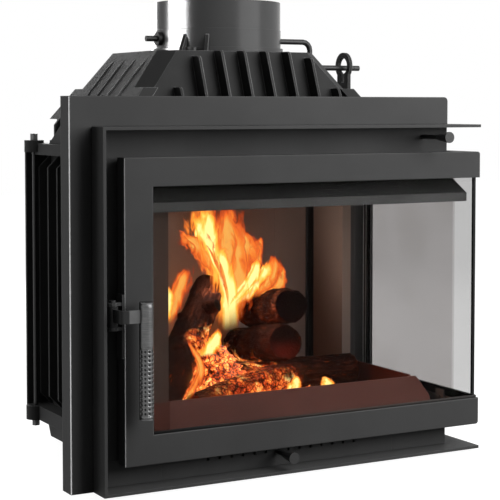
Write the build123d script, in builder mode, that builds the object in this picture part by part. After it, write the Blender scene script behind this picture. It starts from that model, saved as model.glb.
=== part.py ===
"""Cast iron wood-burning fireplace insert with a corner window.

X runs across the front to the right, Y from the front to the back, Z up, in
millimetres. The origin is the middle of the overall box, on the plane that
the insert stands on. The door wraps round the front right corner.
"""
import math
import os

from build123d import *

os.makedirs("parts", exist_ok=True)

# Overall size
total_width = 606.0
total_depth = 420.0
knob_reach = 64.0
cut = 5.0
seat_gap = 0.3
running_gap = 0.05

# Levels of the stack above the floor
pad_height = 4.0
plinth_height = 32.0
base_height = 20.0
crown_height = 16.0
hood_flange = 5.0
hood_skirt = 30.0
hood_slope_height = 94.0
flue_height = 71.5

# Mask, the folded sheet that laps the masonry
mask_right_inset = 36.0
mask_rise = 66.0
mask_sheet = 3.0
mask_fold = 27.5
mask_left_border = 30.0
mask_top_border = 38.0
mask_corner_radius = 6.0
mask_fold_end = 8.0

# Gussets that hold the mask
bracket_inset = 8.0
bracket_drop = 8.0
bracket_slope_share = 0.714
bracket_tail_share = 0.85

# Trim collar round the door
collar_wall = 4.0
collar_reach = 35.0
collar_side_reach = 33.0
collar_setback = 4.0
collar_back_inset = 56.0

# Front and side castings that the door shuts against
frame_wall = 8.0
frame_foot = 40.0
jamb_width = 73.0
window_sill = 62.0
window_head_drop = 60.0
window_back_inset = 120.0
sill_sheet = 3.0
sill_left_share = 0.17
sill_centre_share = 0.66
notch_count = 14
notch_pitch = 17.25
notch_width = 4.6
notch_bottom = 30.0

# Body castings
body_inset = 81.0
rear_panel_depth = 10.0
rear_wall = 5.0
rear_overhang = 7.0
left_rib_depth = 18.0
left_rib_ledge = 6.0
rib_pitch = 34.5
rib_thickness = 4.0
casting_wall = 8.0
lug_radius = 14.0
lug_height = 17.0
lug_rise = 4.5
front_lug_depth = 48.0
tie_rod_radius = 3.0
tie_nut_width = 10.0
tie_nut_height = 9.5
inner_rod_inset = 24.0
inner_rod_back_inset = 19.0

# Plinth, the air chest under the hearth
plinth_left_inset = 22.0
plinth_right_inset = 16.0
plinth_front = 25.0
plinth_lean = 16.0
plinth_wall = 3.0
pad_radius = 20.0
pad_inset = 28.0

# Smoke hood and flue collar
flue_radius = 90.0
flue_wall = 5.0
flue_x = 9.0
flue_ring_radius = 94.0
flue_ring_height = 6.0
hood_front_share = 0.22
flue_depth_share = 0.587
hood_back_share = 0.92
hood_top_half_width = 122.0
hood_top_half_depth = 94.0
hood_rod_gap = 16.0
hood_corner = 20.0
hood_wall = 8.0
hood_flange_margin = 8.0
hood_rib_depth = 22.0
hood_rib_margin = 20.7
hood_rib_clip = 6.0
hood_side_rib_depth = 10.0
hood_boss_width = 22.0
hood_boss_height = 43.0
hood_boss_step = 8.0
hood_rib_share = 0.176
hood_side_rib_share = 0.15
hood_bolt_width = 6.5
hood_bolt_height = 5.0
throat_half_width = 130.0
throat_half_depth = 78.0

# Damper in the flue collar
shaft_radius = 4.0
shaft_rise = 19.0
shaft_left_stub = 23.0
crank_share = 0.49
crank_drop = 37.5
crank_bend = 12.0
bend_steps = 4
pin_reach = 26.0
flap_radius = 74.0
flap_thickness = 4.0
flap_hub_radius = 7.5
flap_hub_end = 60.0
flap_rest_angle = 45.0
bush_radius = 9.5
bush_length = 6.0
pull_rod_radius = 3.0
pull_rod_inset = 42.0
pull_rod_rise = 11.0
pull_rod_back_inset = 30.0
lever_thickness = 5.0
lever_head_radius = 20.0
lever_hole_radius = 12.0
lever_hole_rise = 3.2
lever_slot_width = 6.0
lever_slot_drop = 21.0
lever_neck_width = 30.0
lever_foot_height = 22.0
lever_foot_length = 66.0
lever_sleeve_radius = 6.0
guide_width = 14.0
guide_length = 6.0
guide_height = 19.0
guide_front_depth = 70.0
guide_back_inset = 66.0
knob_radius = 7.5
knob_face = 3.0
knob_neck_radius = 4.2
knob_length = 26.0
knob_sides = 12

# Lugs that hold the flue collar down
flue_lug_count = 2
flue_lug_first_angle = 223.0
flue_lug_spread = 10.5
flue_band_height = 32.0
flue_band_step = 0.6
flue_lug_sheet = 5.0
flue_lug_height = 24.0
flue_lug_foot = 13.0
flue_screw_radius = 3.5
flue_screw_height = 5.0
flue_screw_gap = 1.0

# Air control under the door
air_rod_x = -8.6
air_rod_height = 26.0
air_knob_reach = 45.0
air_rod_tail = 84.0
air_gap_half_width = 60.0
air_gap_low = 14.0
air_gap_high = 28.0
valve_margin = 6.0
valve_thickness = 3.0
valve_rest_gap = 15.0
valve_bottom = 8.0
air_guide_depth = 66.0
air_guide_width = 16.0

# Fire chamber
liner_thickness = 25.0
liner_height = 300.0
side_liner_thickness = 15.0
rear_liner_split_inset = 87.0
rear_liner_end_inset = 30.0
hearth_thickness = 8.0
grate_half_width = 120.0
grate_half_depth = 80.0
grate_x = 5.0
grate_depth = 160.0
grate_shelf = 10.0
grate_slot_count = 13
grate_slot_pitch = 16.0
grate_slot_width = 6.0
grate_rim = 18.0
ash_pan_margin = 10.0
ash_pan_wall = 2.0
ash_pan_height = 22.0
baffle_thickness = 12.0
baffle_room = 56.0
baffle_front = 150.0
rail_width = 10.0
rail_height = 8.0
rail_rise = 4.0
rail_front = 130.0
guard_sheet = 3.0
guard_foot_depth = 14.0
guard_foot = 12.0
guard_top_depth = 38.0
guard_top = 100.0
guard_right_gap = 4.0
guard_chamfer = 12.0
side_guard_top = 95.0
side_guard_front = 60.0
side_guard_chamfer = 15.0
deflector_sheet = 3.0
deflector_front = 13.0
deflector_drop = 44.0
deflector_lip = 12.0
deflector_lap = 9.0
deflector_side_lap = 4.0
deflector_right_inset = 12.0

# Logs and embers, as shares of the fire's size: X from the chamber's middle,
# depth from the front, height above the hearth. Each log has its low or near
# end, its far end and its radius.
fire_depth_share = 1.3514
log_shares = {
    "log_front": ((-0.34634, 0.14184, 0.05201), (0.11466, 0.30733, 0.10331), 0.05201),
    "log_back": ((-0.28723, 0.41371, 0.06383), (0.42908, 0.44917, 0.06383), 0.06383),
    "log_middle": ((0.06738, 0.28369, 0.21158), (0.11939, 0.67376, 0.14397), 0.05556),
    "log_top": ((0.08865, 0.28369, 0.33215), (0.13598, 0.63865, 0.27062), 0.06501),
    "log_lean": ((-0.41253, 0.26005, 0.04775), (-0.10993, 0.487, 0.39054), 0.06383),
}
ember_x_share = -0.09811
ember_front_share = 0.10875
ember_back_share = 0.61939
ember_height_share = 0.0331
ember_half_width_share = 0.35461
ember_slope_share = 0.08038
pocket_sides = 12

# Door
door_left_gap = 27.0
door_foot = 37.2
door_top_gap = 38.1
door_reach = 28.0
door_thickness = 21.0
door_side_thickness = 30.0
door_stile = 39.0
door_rail_bottom = 37.1
door_rail_top = 36.3
door_rear_stile = 25.0
door_back_inset = 90.0
door_lip = 4.0
door_rebate = 8.0
door_step = 14.0
door_corner_radius = 4.0
glass_thickness = 4.0
glass_edge_gap = 0.5
rope_width = 9.0
rope_inset = 4.0
rope_gap = 0.4
clip_length = 20.0
clip_width = 16.0
clip_sheet = 2.5
clip_screw_radius = 3.0
clip_screw_height = 2.0
clip_share = 0.28

# Hinges
hinge_axis_inset = 13.0
knuckle_radius = 7.0
knuckle_gap = 0.5
hinge_pin_radius = 4.0
hinge_pin_head = 6.5
hinge_pin_head_height = 4.0
hinge_lug_height = 25.0
hinge_ear_height = 12.0
hinge_plate = 5.0
hinge_end_inset = 36.0

# Handle and latch
handle_radius = 9.0
handle_wall = 1.5
handle_length = 145.5
handle_bottom = 100.0
handle_cap = 1.5
handle_inset = 19.0
handle_reach = 50.0
arm_height = 16.0
arm_bottom = 220.0
arm_thickness = 4.0
pivot_outset = 14.0
pivot_reach = 22.0
pivot_radius = 3.0
hub_radius = 7.0
hub_bottom = 213.0
hub_height = 26.0
hook_height = 6.0
hook_shank = 6.0
hook_nose = 3.0
hook_nose_reach = 10.0
hook_nose_back = 5.5
bracket_sheet = 3.0
bracket_bottom = 173.0
bracket_height = 80.0
bracket_front = 27.0
bracket_back = 10.0
bracket_ear = 4.0
keeper_inset = 9.0
keeper_reach = 12.0
keeper_pin_radius = 3.0
keeper_pin_length = 26.0
keeper_sheet = 1.5
keeper_ear = 3.0
keeper_ear_width = 8.0
keeper_plate_height = 40.0

# Places worked out from the sizes above
left = -total_width / 2
right = total_width / 2
front = -total_depth / 2 + knob_reach
back = total_depth / 2
base_top = plinth_height + base_height
hearth_top = base_top + hearth_thickness
liner_top = hearth_top + liner_height
crown_bottom = liner_top + baffle_room
crown_top = crown_bottom + crown_height
skirt_bottom = crown_top + hood_flange
slope_bottom = skirt_bottom + hood_skirt
hood_top = slope_bottom + hood_slope_height
flue_top = hood_top + flue_height
mask_bottom = pad_height
mask_top = crown_top + mask_rise
mask_right = right - mask_right_inset
collar_left = left + mask_left_border
collar_top = mask_top - mask_top_border
collar_right = right - collar_setback
collar_rear = back - collar_back_inset
frame_left = collar_left + collar_wall
frame_top = collar_top - collar_wall
side_face = collar_right - collar_side_reach
side_inner = side_face - frame_wall
window_left = frame_left + jamb_width
window_head = frame_top - window_head_drop
window_rear = back - window_back_inset
body_left = left + body_inset
body_front = front + frame_wall
body_back = back - rear_panel_depth
body_depth = body_back - front
left_wall = body_left + left_rib_ledge + left_rib_depth
left_inner = left_wall + casting_wall
plinth_left = body_left + plinth_left_inset
plinth_right = side_face - plinth_right_inset
flue_y = front + body_depth * flue_depth_share
shaft_z = hood_top + shaft_rise
pin_z = shaft_z - crank_drop
pull_rod_x = side_face - pull_rod_inset
pull_rod_z = crown_top + pull_rod_rise
door_left = frame_left + door_left_gap
door_top = collar_top - door_top_gap
door_front = front - door_reach
door_back = door_front + door_thickness
door_side_inner = right - door_side_thickness
door_rear = back - door_back_inset
glass_low = door_foot + door_rail_bottom
glass_high = door_top - door_rail_top
hinge_x = right - hinge_axis_inset
hinge_y = door_rear + knuckle_radius + knuckle_gap


def bar(x_span, y_span, z_span, mode=Mode.ADD):
    """Square bar between two X, two Y and two Z values."""
    with BuildSketch(Plane.XY.offset(z_span[0])) as outline:
        with Locations(((x_span[0] + x_span[1]) / 2, (y_span[0] + y_span[1]) / 2)):
            Rectangle(x_span[1] - x_span[0], y_span[1] - y_span[0])
    extrude(outline.sketch, amount=z_span[1] - z_span[0], dir=(0, 0, 1), mode=mode)


def post(x, y, radius, z_span, mode=Mode.ADD):
    """Round post along Z."""
    with BuildSketch(Plane.XY.offset(z_span[0])) as outline:
        with Locations((x, y)):
            Circle(radius)
    extrude(outline.sketch, amount=z_span[1] - z_span[0], dir=(0, 0, 1), mode=mode)


def rod_along_x(y, z, radius, x_span, mode=Mode.ADD):
    """Round rod along X."""
    with BuildSketch(Plane.YZ.offset(x_span[0])) as outline:
        with Locations((y, z)):
            Circle(radius)
    extrude(outline.sketch, amount=x_span[1] - x_span[0], dir=(1, 0, 0), mode=mode)


def rod_along_y(x, z, radius, y_span, mode=Mode.ADD):
    """Round rod along Y."""
    with BuildSketch(Plane.XZ.offset(-y_span[1])) as outline:
        with Locations((x, z)):
            Circle(radius)
    extrude(outline.sketch, amount=y_span[1] - y_span[0], dir=(0, -1, 0), mode=mode)


def plate_facing_x(points, x_span, mode=Mode.ADD):
    """Plate with an outline in Y and Z."""
    with BuildSketch(Plane.YZ.offset(x_span[0])) as outline:
        Polygon(*points, align=None)
    extrude(outline.sketch, amount=x_span[1] - x_span[0], dir=(1, 0, 0), mode=mode)


def plate_facing_y(points, y_span, mode=Mode.ADD):
    """Plate with an outline in X and Z."""
    with BuildSketch(Plane.XZ.offset(-y_span[1])) as outline:
        Polygon(*points, align=None)
    extrude(outline.sketch, amount=y_span[1] - y_span[0], dir=(0, -1, 0), mode=mode)


def plate_facing_z(points, z_span, mode=Mode.ADD):
    """Plate with an outline in X and Y."""
    with BuildSketch(Plane.XY.offset(z_span[0])) as outline:
        Polygon(*points, align=None)
    extrude(outline.sketch, amount=z_span[1] - z_span[0], dir=(0, 0, 1), mode=mode)


def prism(x, y, radius, sides, z_span, mode=Mode.ADD):
    """Post along Z with flat sides that touch a circle of the radius given."""
    with BuildSketch(Plane.XY.offset(z_span[0])) as outline:
        with Locations((x, y)):
            RegularPolygon(radius, sides, major_radius=False)
    extrude(outline.sketch, amount=z_span[1] - z_span[0], dir=(0, 0, 1), mode=mode)


def hex_head(x, y, width, z_span):
    """Hexagonal head or nut along Z, given across its flats."""
    prism(x, y, width / 2, 6, z_span)


def spread(count, pitch):
    """Places at a pitch, centred on zero."""
    return [(index - (count - 1) / 2) * pitch for index in range(count)]


def save(piece, name):
    """Label a finished piece and write it."""
    piece.label = name
    export_step(piece, f"parts/{name}.step")


# Mask plate: an upside-down L with its outer edges folded back
with BuildPart() as mask_plate:
    plate_facing_y(
        [
            (left, mask_bottom),
            (collar_left, mask_bottom),
            (collar_left, collar_top),
            (mask_right, collar_top),
            (mask_right, mask_top),
            (left, mask_top),
        ],
        (front, front + mask_sheet),
    )
    fillet(
        mask_plate.edges().filter_by(Axis.Y).sort_by(Axis.X)[-2:].sort_by(Axis.Z)[-1],
        radius=mask_corner_radius,
    )
    bar((left, left + mask_sheet), (front, front + mask_fold), (mask_bottom, mask_top))
    bar(
        (left, mask_right - mask_fold_end),
        (front, front + mask_fold),
        (mask_top - mask_sheet, mask_top),
    )
save(mask_plate.part, "mask_plate")


# Trim collar: flat bar flanges on the left, top, bottom and round the corner
with BuildPart() as trim_collar:
    flange_plan = [
        (collar_left, front - collar_reach),
        (collar_right, front - collar_reach),
        (collar_right, collar_rear),
        (side_inner, collar_rear),
        (side_inner, body_front),
        (collar_left, body_front),
    ]
    plate_facing_z(flange_plan, (frame_top, collar_top))
    sill_plan = [
        (collar_left, front - collar_reach),
        (collar_right, front - collar_reach),
        (collar_right, collar_rear),
        (plinth_right, collar_rear),
        (plinth_right, front + plinth_front),
        (collar_left, front + plinth_front),
    ]
    plate_facing_z(sill_plan, (mask_bottom, mask_bottom + collar_wall))
    bar(
        (collar_left, frame_left),
        (front - collar_reach, front + mask_sheet),
        (mask_bottom, collar_top),
    )
    bar(
        (side_face, collar_right),
        (collar_rear - collar_wall, collar_rear),
        (mask_bottom, collar_top),
    )
save(trim_collar.part, "trim_collar")


# Front casting: the C that the door's front shuts against
with BuildPart() as front_casting:
    plate_facing_y(
        [
            (frame_left, frame_foot),
            (side_face, frame_foot),
            (side_face, window_sill),
            (window_left, window_sill),
            (window_left, window_head),
            (side_face, window_head),
            (side_face, frame_top),
            (frame_left, frame_top),
        ],
        (front, body_front),
    )
    rod_along_y(
        pull_rod_x,
        pull_rod_z,
        pull_rod_radius + seat_gap,
        (front - cut, body_front + cut),
        mode=Mode.SUBTRACT,
    )
save(front_casting.part, "front_casting")


# Side casting: the C that the door's side shuts against, with its rear jamb
with BuildPart() as side_casting:
    plate_facing_x(
        [
            (body_front, frame_foot),
            (body_back, frame_foot),
            (body_back, frame_top),
            (body_front, frame_top),
            (body_front, window_head),
            (window_rear, window_head),
            (window_rear, window_sill),
            (body_front, window_sill),
        ],
        (side_inner, side_face),
    )
save(side_casting.part, "side_casting")


# Sill panels under the door; the middle one has the air notches
sill_bottom = mask_bottom + collar_wall
sill_top = frame_foot - seat_gap
sill_left_end = frame_left + (side_face - frame_left) * sill_left_share
sill_centre_end = sill_left_end + (side_face - frame_left) * sill_centre_share

with BuildPart() as sill_end_panels:
    bar((frame_left, sill_left_end - seat_gap), (front, front + sill_sheet), (sill_bottom, sill_top))
    bar((sill_centre_end + seat_gap, side_face), (front, front + sill_sheet), (sill_bottom, sill_top))
save(sill_end_panels.part, "sill_end_panels")

with BuildPart() as sill_panel_centre:
    bar((sill_left_end, sill_centre_end), (front, front + sill_sheet), (sill_bottom, sill_top))
    for offset_x in spread(notch_count, notch_pitch):
        bar(
            (offset_x - notch_width / 2, offset_x + notch_width / 2),
            (front - cut, front + sill_sheet + cut),
            (notch_bottom, sill_top + cut),
            mode=Mode.SUBTRACT,
        )
    rod_along_y(
        air_rod_x,
        air_rod_height,
        pull_rod_radius + running_gap,
        (front - cut, front + sill_sheet + cut),
        mode=Mode.SUBTRACT,
    )
save(sill_panel_centre.part, "sill_panel_centre")


# Plinth: open-topped air chest with four pads, leaning in at the back
plinth_back = body_back
plinth_back_low = plinth_back - plinth_lean
with BuildPart() as plinth:
    plate_facing_x(
        [
            (front + plinth_front, pad_height),
            (plinth_back_low, pad_height),
            (plinth_back, plinth_height),
            (front + plinth_front, plinth_height),
        ],
        (plinth_left, plinth_right),
    )
    plate_facing_x(
        [
            (front + plinth_front + plinth_wall, pad_height + plinth_wall),
            (plinth_back_low - plinth_wall, pad_height + plinth_wall),
            (plinth_back - plinth_wall, plinth_height + cut),
            (front + plinth_front + plinth_wall, plinth_height + cut),
        ],
        (plinth_left + plinth_wall, plinth_right - plinth_wall),
        mode=Mode.SUBTRACT,
    )
    bar(
        (air_rod_x - air_gap_half_width, air_rod_x + air_gap_half_width),
        (front + plinth_front - cut, front + plinth_front + plinth_wall + cut),
        (air_gap_low, air_gap_high),
        mode=Mode.SUBTRACT,
    )
    rod_along_y(
        air_rod_x,
        air_rod_height,
        pull_rod_radius + seat_gap,
        (front + plinth_front - cut, front + plinth_front + plinth_wall + cut),
        mode=Mode.SUBTRACT,
    )
    for pad_x in (plinth_left + pad_inset, plinth_right - pad_inset):
        for pad_y in (front + plinth_front + pad_inset, plinth_back_low - pad_inset):
            prism(pad_x, pad_y, pad_radius, 8, (0, pad_height))
save(plinth.part, "plinth")


# Base and crown castings: ribbed plates with lugs for the tie rods
lug_x = body_left
rear_lug_y = body_back - lug_radius - seat_gap
front_lug_y = front + front_lug_depth
inner_rod_x = side_inner - inner_rod_inset
inner_rod_y = body_back - inner_rod_back_inset
tie_rod_places = [(lug_x, rear_lug_y), (lug_x, front_lug_y), (inner_rod_x, inner_rod_y)]


def drill_tie_rods(z_span):
    """Holes that the three tie rods pass through."""
    for rod_x, rod_y in tie_rod_places:
        post(rod_x, rod_y, tie_rod_radius + seat_gap, z_span, mode=Mode.SUBTRACT)


shelf_half_width = grate_half_width - grate_shelf
shelf_half_depth = grate_half_depth - grate_shelf
grate_y = front + grate_depth
with BuildPart() as base_casting:
    bar((body_left, side_inner), (body_front, body_back), (plinth_height, base_top))
    bar(
        (plinth_left + casting_wall, plinth_right - casting_wall),
        (front + plinth_front + casting_wall, body_back - casting_wall),
        (plinth_height - cut, base_top - casting_wall),
        mode=Mode.SUBTRACT,
    )
    bar(
        (grate_x - shelf_half_width, grate_x + shelf_half_width),
        (grate_y - shelf_half_depth, grate_y + shelf_half_depth),
        (plinth_height - cut, base_top + cut),
        mode=Mode.SUBTRACT,
    )
    for lug_y in (rear_lug_y, front_lug_y):
        post(lug_x, lug_y, lug_radius, (plinth_height, base_top))
    prism(inner_rod_x, inner_rod_y, lug_radius / 2, 8, (plinth_height, base_top))
    drill_tie_rods((plinth_height - cut, base_top + cut))
save(base_casting.part, "base_casting")

lug_top = crown_top + lug_rise
with BuildPart() as crown_casting:
    bar((body_left, side_inner), (body_front, body_back), (crown_bottom, crown_top))
    bar(
        (flue_x - throat_half_width, flue_x + throat_half_width),
        (flue_y - throat_half_depth, flue_y + throat_half_depth),
        (crown_bottom - cut, crown_top + cut),
        mode=Mode.SUBTRACT,
    )
    for lug_y in (rear_lug_y, front_lug_y):
        post(lug_x, lug_y, lug_radius, (lug_top - lug_height, lug_top))
    drill_tie_rods((crown_bottom - cut, lug_top + cut))
save(crown_casting.part, "crown_casting")


# Tie rods and their nuts
rod_low = plinth_height - tie_nut_height
with BuildPart() as tie_rods:
    for rod_x, rod_y in tie_rod_places:
        rod_head = crown_top if rod_x == inner_rod_x else lug_top
        post(rod_x, rod_y, tie_rod_radius, (rod_low + seat_gap, rod_head + tie_nut_height - seat_gap))
save(tie_rods.part, "tie_rods")

with BuildPart() as tie_rod_nuts:
    for rod_x, rod_y in tie_rod_places:
        rod_head = crown_top if rod_x == inner_rod_x else lug_top
        hex_head(rod_x, rod_y, tie_nut_width, (rod_low, plinth_height))
        hex_head(rod_x, rod_y, tie_nut_width, (rod_head, rod_head + tie_nut_height))
        prism(
            rod_x,
            rod_y,
            tie_rod_radius + running_gap,
            12,
            (rod_low + seat_gap, rod_head + tie_nut_height - seat_gap),
            mode=Mode.SUBTRACT,
        )
save(tie_rod_nuts.part, "tie_rod_nuts")


# Left panel: a ribbed wall, its ribs chamfered at both ends
with BuildPart() as left_panel:
    bar((left_wall, left_inner), (body_front, body_back), (base_top, crown_bottom))
    rib_outer = left_wall - left_rib_depth
    for index in range(int((body_back - body_front) / rib_pitch)):
        rib_y = body_back - rib_pitch / 2 - index * rib_pitch
        plate_facing_y(
            [
                (left_wall, base_top),
                (rib_outer, base_top + left_rib_depth),
                (rib_outer, crown_bottom - left_rib_depth),
                (left_wall, crown_bottom),
            ],
            (rib_y - rib_thickness / 2, rib_y + rib_thickness / 2),
        )
save(left_panel.part, "left_panel")


# Rear panel: a ribbed wall that closes the back
with BuildPart() as rear_panel:
    rear_left = body_left - rear_overhang
    bar((rear_left, side_face), (body_back, body_back + rear_wall), (plinth_height, crown_top))
    rear_centre = (rear_left + side_face) / 2
    rear_rib_count = int((side_face - rear_left) / rib_pitch)
    for offset_x in spread(rear_rib_count, rib_pitch):
        rib_x = rear_centre + offset_x
        plate_facing_x(
            [
                (body_back + rear_wall, base_top),
                (back, base_top + rear_wall),
                (back, crown_bottom - rear_wall),
                (body_back + rear_wall, crown_bottom),
            ],
            (rib_x - rib_thickness / 2, rib_x + rib_thickness / 2),
        )
save(rear_panel.part, "rear_panel")


# Smoke hood: an eight-sided funnel with blade ribs on its four faces
hood_low_half_width = pull_rod_x - hood_rod_gap - hood_flange_margin
hood_side_spread = hood_low_half_width - hood_top_half_width
hood_top_y0 = flue_y - hood_top_half_depth
hood_top_y1 = flue_y + hood_top_half_depth
hood_low_y0 = front + body_depth * hood_front_share
hood_low_y1 = front + body_depth * hood_back_share
hood_front_spread = hood_top_y0 - hood_low_y0
hood_back_spread = hood_low_y1 - hood_top_y1
hood_rib_pitch = hood_low_half_width * hood_rib_share
hood_side_rib_pitch = (hood_low_y1 - hood_low_y0) * hood_side_rib_share


def hood_outline(half_width, y0, y1, corner, inset):
    """Rectangle with cut corners, drawn in by an inset."""
    x0 = inset - half_width
    x1 = half_width - inset
    low = y0 + inset
    high = y1 - inset
    return [
        (x0 + corner, low),
        (x1 - corner, low),
        (x1, low + corner),
        (x1, high - corner),
        (x1 - corner, high),
        (x0 + corner, high),
        (x0, high - corner),
        (x0, low + corner),
    ]


def flat_sided(low_outline, low_z, top_outline, top_z, mode=Mode.ADD):
    """Solid with flat sides between two outlines at different heights."""
    low_ring = [(x, y, low_z) for x, y in low_outline]
    top_ring = [(x, y, top_z) for x, y in top_outline]
    sides = list(zip(low_ring, low_ring[1:] + low_ring[:1], top_ring[1:] + top_ring[:1], top_ring))
    outlines = [low_ring, top_ring, *sides]
    faces = [Face(Wire.make_polygon([Vector(*point) for point in points])) for points in outlines]
    add(Solid(Shell(faces)), mode=mode)


def hood_body(inset, low_z, top_z, mode):
    """Straight skirt and sloping funnel with flat sides, drawn in by an inset."""
    low_outline = hood_outline(hood_low_half_width, hood_low_y0, hood_low_y1, hood_corner, inset)
    top_outline = hood_outline(hood_top_half_width, hood_top_y0, hood_top_y1, hood_corner, inset)
    plate_facing_z(low_outline, (low_z, slope_bottom), mode)
    flat_sided(low_outline, slope_bottom, top_outline, top_z, mode)


def slope_run(spread_length, z):
    """How far a sloping face has moved out at a height."""
    return spread_length * (hood_top - z) / hood_slope_height


def rib_top(offset, flat_half_width, spread_length):
    """Height at which a rib runs out at the face's sloping edge."""
    overhang = abs(offset) - flat_half_width
    if overhang <= 0:
        return hood_top
    return hood_top - overhang * hood_slope_height / spread_length


def corner_boss(side, face_y, sign, spread_length):
    """Square block that fills a cut corner at the hood's foot, leaning with the slopes."""
    outlines = []
    for z in (slope_bottom, slope_bottom + hood_boss_height):
        edge_x = side * (hood_top_half_width + slope_run(hood_side_spread, z))
        inner_x = edge_x - side * hood_boss_width
        outer_y = face_y + sign * (slope_run(spread_length, z) + hood_boss_step)
        inner_y = outer_y - sign * (hood_boss_step + hood_corner)
        outlines.append([(edge_x, outer_y), (inner_x, outer_y), (inner_x, inner_y), (edge_x, inner_y)])
    flat_sided(outlines[0], slope_bottom, outlines[1], slope_bottom + hood_boss_height)


with BuildPart() as hood:
    hood_body(0, skirt_bottom, hood_top, Mode.ADD)
    hood_centre_y = (hood_low_y0 + hood_low_y1) / 2
    for offset in spread(8, hood_rib_pitch):
        top = rib_top(offset, hood_top_half_width - hood_rib_margin - hood_corner, hood_side_spread)
        x_span = (flue_x + offset - rib_thickness / 2, flue_x + offset + rib_thickness / 2)
        for face_y, sign, run in (
            (hood_top_y0, -1, hood_front_spread),
            (hood_top_y1, 1, hood_back_spread),
        ):
            face_low = face_y + sign * run
            face_top = face_y + sign * slope_run(run, top)
            rib_low = face_low + sign * hood_rib_depth
            rib_high = face_top + sign * hood_rib_depth
            plate_facing_x(
                [
                    (face_low - sign * hood_wall / 2, skirt_bottom),
                    (rib_low, skirt_bottom),
                    (rib_low, slope_bottom),
                    (rib_high, top - hood_rib_clip),
                    (rib_high - sign * hood_rib_clip / 3, top - hood_rib_clip / 3),
                    (rib_high - sign * hood_rib_clip, top),
                    (face_top - sign * hood_wall / 2, top),
                ],
                x_span,
            )
    for offset in spread(6, hood_side_rib_pitch):
        side_top = rib_top(offset, hood_top_half_depth - hood_corner - rib_thickness, hood_front_spread)
        top = side_top - hood_side_rib_depth
        y_span = (
            hood_centre_y + offset - rib_thickness / 2,
            hood_centre_y + offset + rib_thickness / 2,
        )
        for sign in (-1, 1):
            face_low = sign * hood_low_half_width
            face_top = sign * (hood_top_half_width + slope_run(hood_side_spread, top))
            plate_facing_y(
                [
                    (face_low - sign * hood_wall / 2, skirt_bottom),
                    (face_low + sign * hood_flange_margin, skirt_bottom),
                    (face_low + sign * hood_flange_margin, slope_bottom - hood_flange_margin),
                    (face_top + sign * hood_side_rib_depth, top - hood_side_rib_depth),
                    (face_top, top),
                    (face_top - sign * hood_wall / 2, top),
                ],
                y_span,
            )
    for side in (-1, 1):
        corner_boss(side, hood_top_y0, -1, hood_front_spread)
        corner_boss(side, hood_top_y1, 1, hood_back_spread)
    flange_outline = hood_outline(
        hood_low_half_width,
        hood_low_y0,
        hood_low_y1,
        hood_corner,
        -hood_flange_margin,
    )
    plate_facing_z(flange_outline, (crown_top, skirt_bottom))
    hood_body(hood_wall, crown_top - cut, hood_top - hood_wall, Mode.SUBTRACT)
    post(
        flue_x,
        flue_y,
        flue_radius - flue_wall,
        (hood_top - hood_wall - cut, hood_top + cut),
        mode=Mode.SUBTRACT,
    )
save(hood.part, "hood")


# Bolts of the hood: in its flange between the ribs, and at the collar's lugs
lug_angles = [flue_lug_first_angle + index * 360 / flue_lug_count for index in range(flue_lug_count)]
screw_reach = flue_ring_radius + flue_screw_radius + flue_screw_gap
with BuildPart() as hood_bolts:
    bolt_y0 = hood_low_y0 - hood_flange_margin / 2
    bolt_y1 = hood_low_y1 + hood_flange_margin / 2
    for offset in (-3 * hood_rib_pitch, 0, 3 * hood_rib_pitch):
        for bolt_y in (bolt_y0, bolt_y1):
            hex_head(
                flue_x + offset,
                bolt_y,
                hood_bolt_width,
                (skirt_bottom, skirt_bottom + hood_bolt_height),
            )
    for lug_angle in lug_angles:
        hex_head(
            flue_x + screw_reach * math.cos(math.radians(lug_angle)),
            flue_y + screw_reach * math.sin(math.radians(lug_angle)),
            flue_screw_radius * 2,
            (hood_top, hood_top + flue_screw_height),
        )
save(hood_bolts.part, "hood_bolts")


# Flue collar: tube on a ring, with a band where the damper shaft passes
band_radius = flue_radius + flue_band_step
with BuildPart() as flue_collar:
    post(flue_x, flue_y, flue_ring_radius, (hood_top, hood_top + flue_ring_height))
    post(flue_x, flue_y, band_radius, (hood_top, hood_top + flue_band_height))
    post(flue_x, flue_y, flue_radius, (hood_top, flue_top))
    post(flue_x, flue_y, flue_radius - flue_wall, (hood_top - cut, flue_top + cut), mode=Mode.SUBTRACT)
    rod_along_x(
        flue_y,
        shaft_z,
        shaft_radius + running_gap,
        (flue_x - flue_ring_radius - cut, flue_x + flue_ring_radius + cut),
        mode=Mode.SUBTRACT,
    )
save(flue_collar.part, "flue_collar")


# Lugs that hold the collar down: pairs of gussets with a screw between
gusset_outline = [
    (band_radius, hood_top + flue_ring_height),
    (flue_ring_radius, hood_top + flue_ring_height),
    (flue_ring_radius, hood_top),
    (band_radius + flue_lug_foot, hood_top),
    (band_radius, hood_top + flue_lug_height),
]
with BuildPart() as flue_lugs:
    for lug_angle in lug_angles:
        for side in (-1, 1):
            turn = lug_angle + side * flue_lug_spread
            radial = Vector(math.cos(math.radians(turn)), math.sin(math.radians(turn)), 0)
            normal = Vector(-radial.Y, radial.X, 0)
            gusset_plane = Plane(
                origin=Vector(flue_x, flue_y, 0) + normal * flue_lug_sheet / 2,
                x_dir=radial,
                z_dir=-normal,
            )
            with BuildSketch(gusset_plane):
                Polygon(*[(u, v) for u, v in gusset_outline], align=None)
            extrude(amount=flue_lug_sheet)
    post(flue_x, flue_y, band_radius, (hood_top - cut, flue_top), mode=Mode.SUBTRACT)
save(flue_lugs.part, "flue_lugs")


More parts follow.
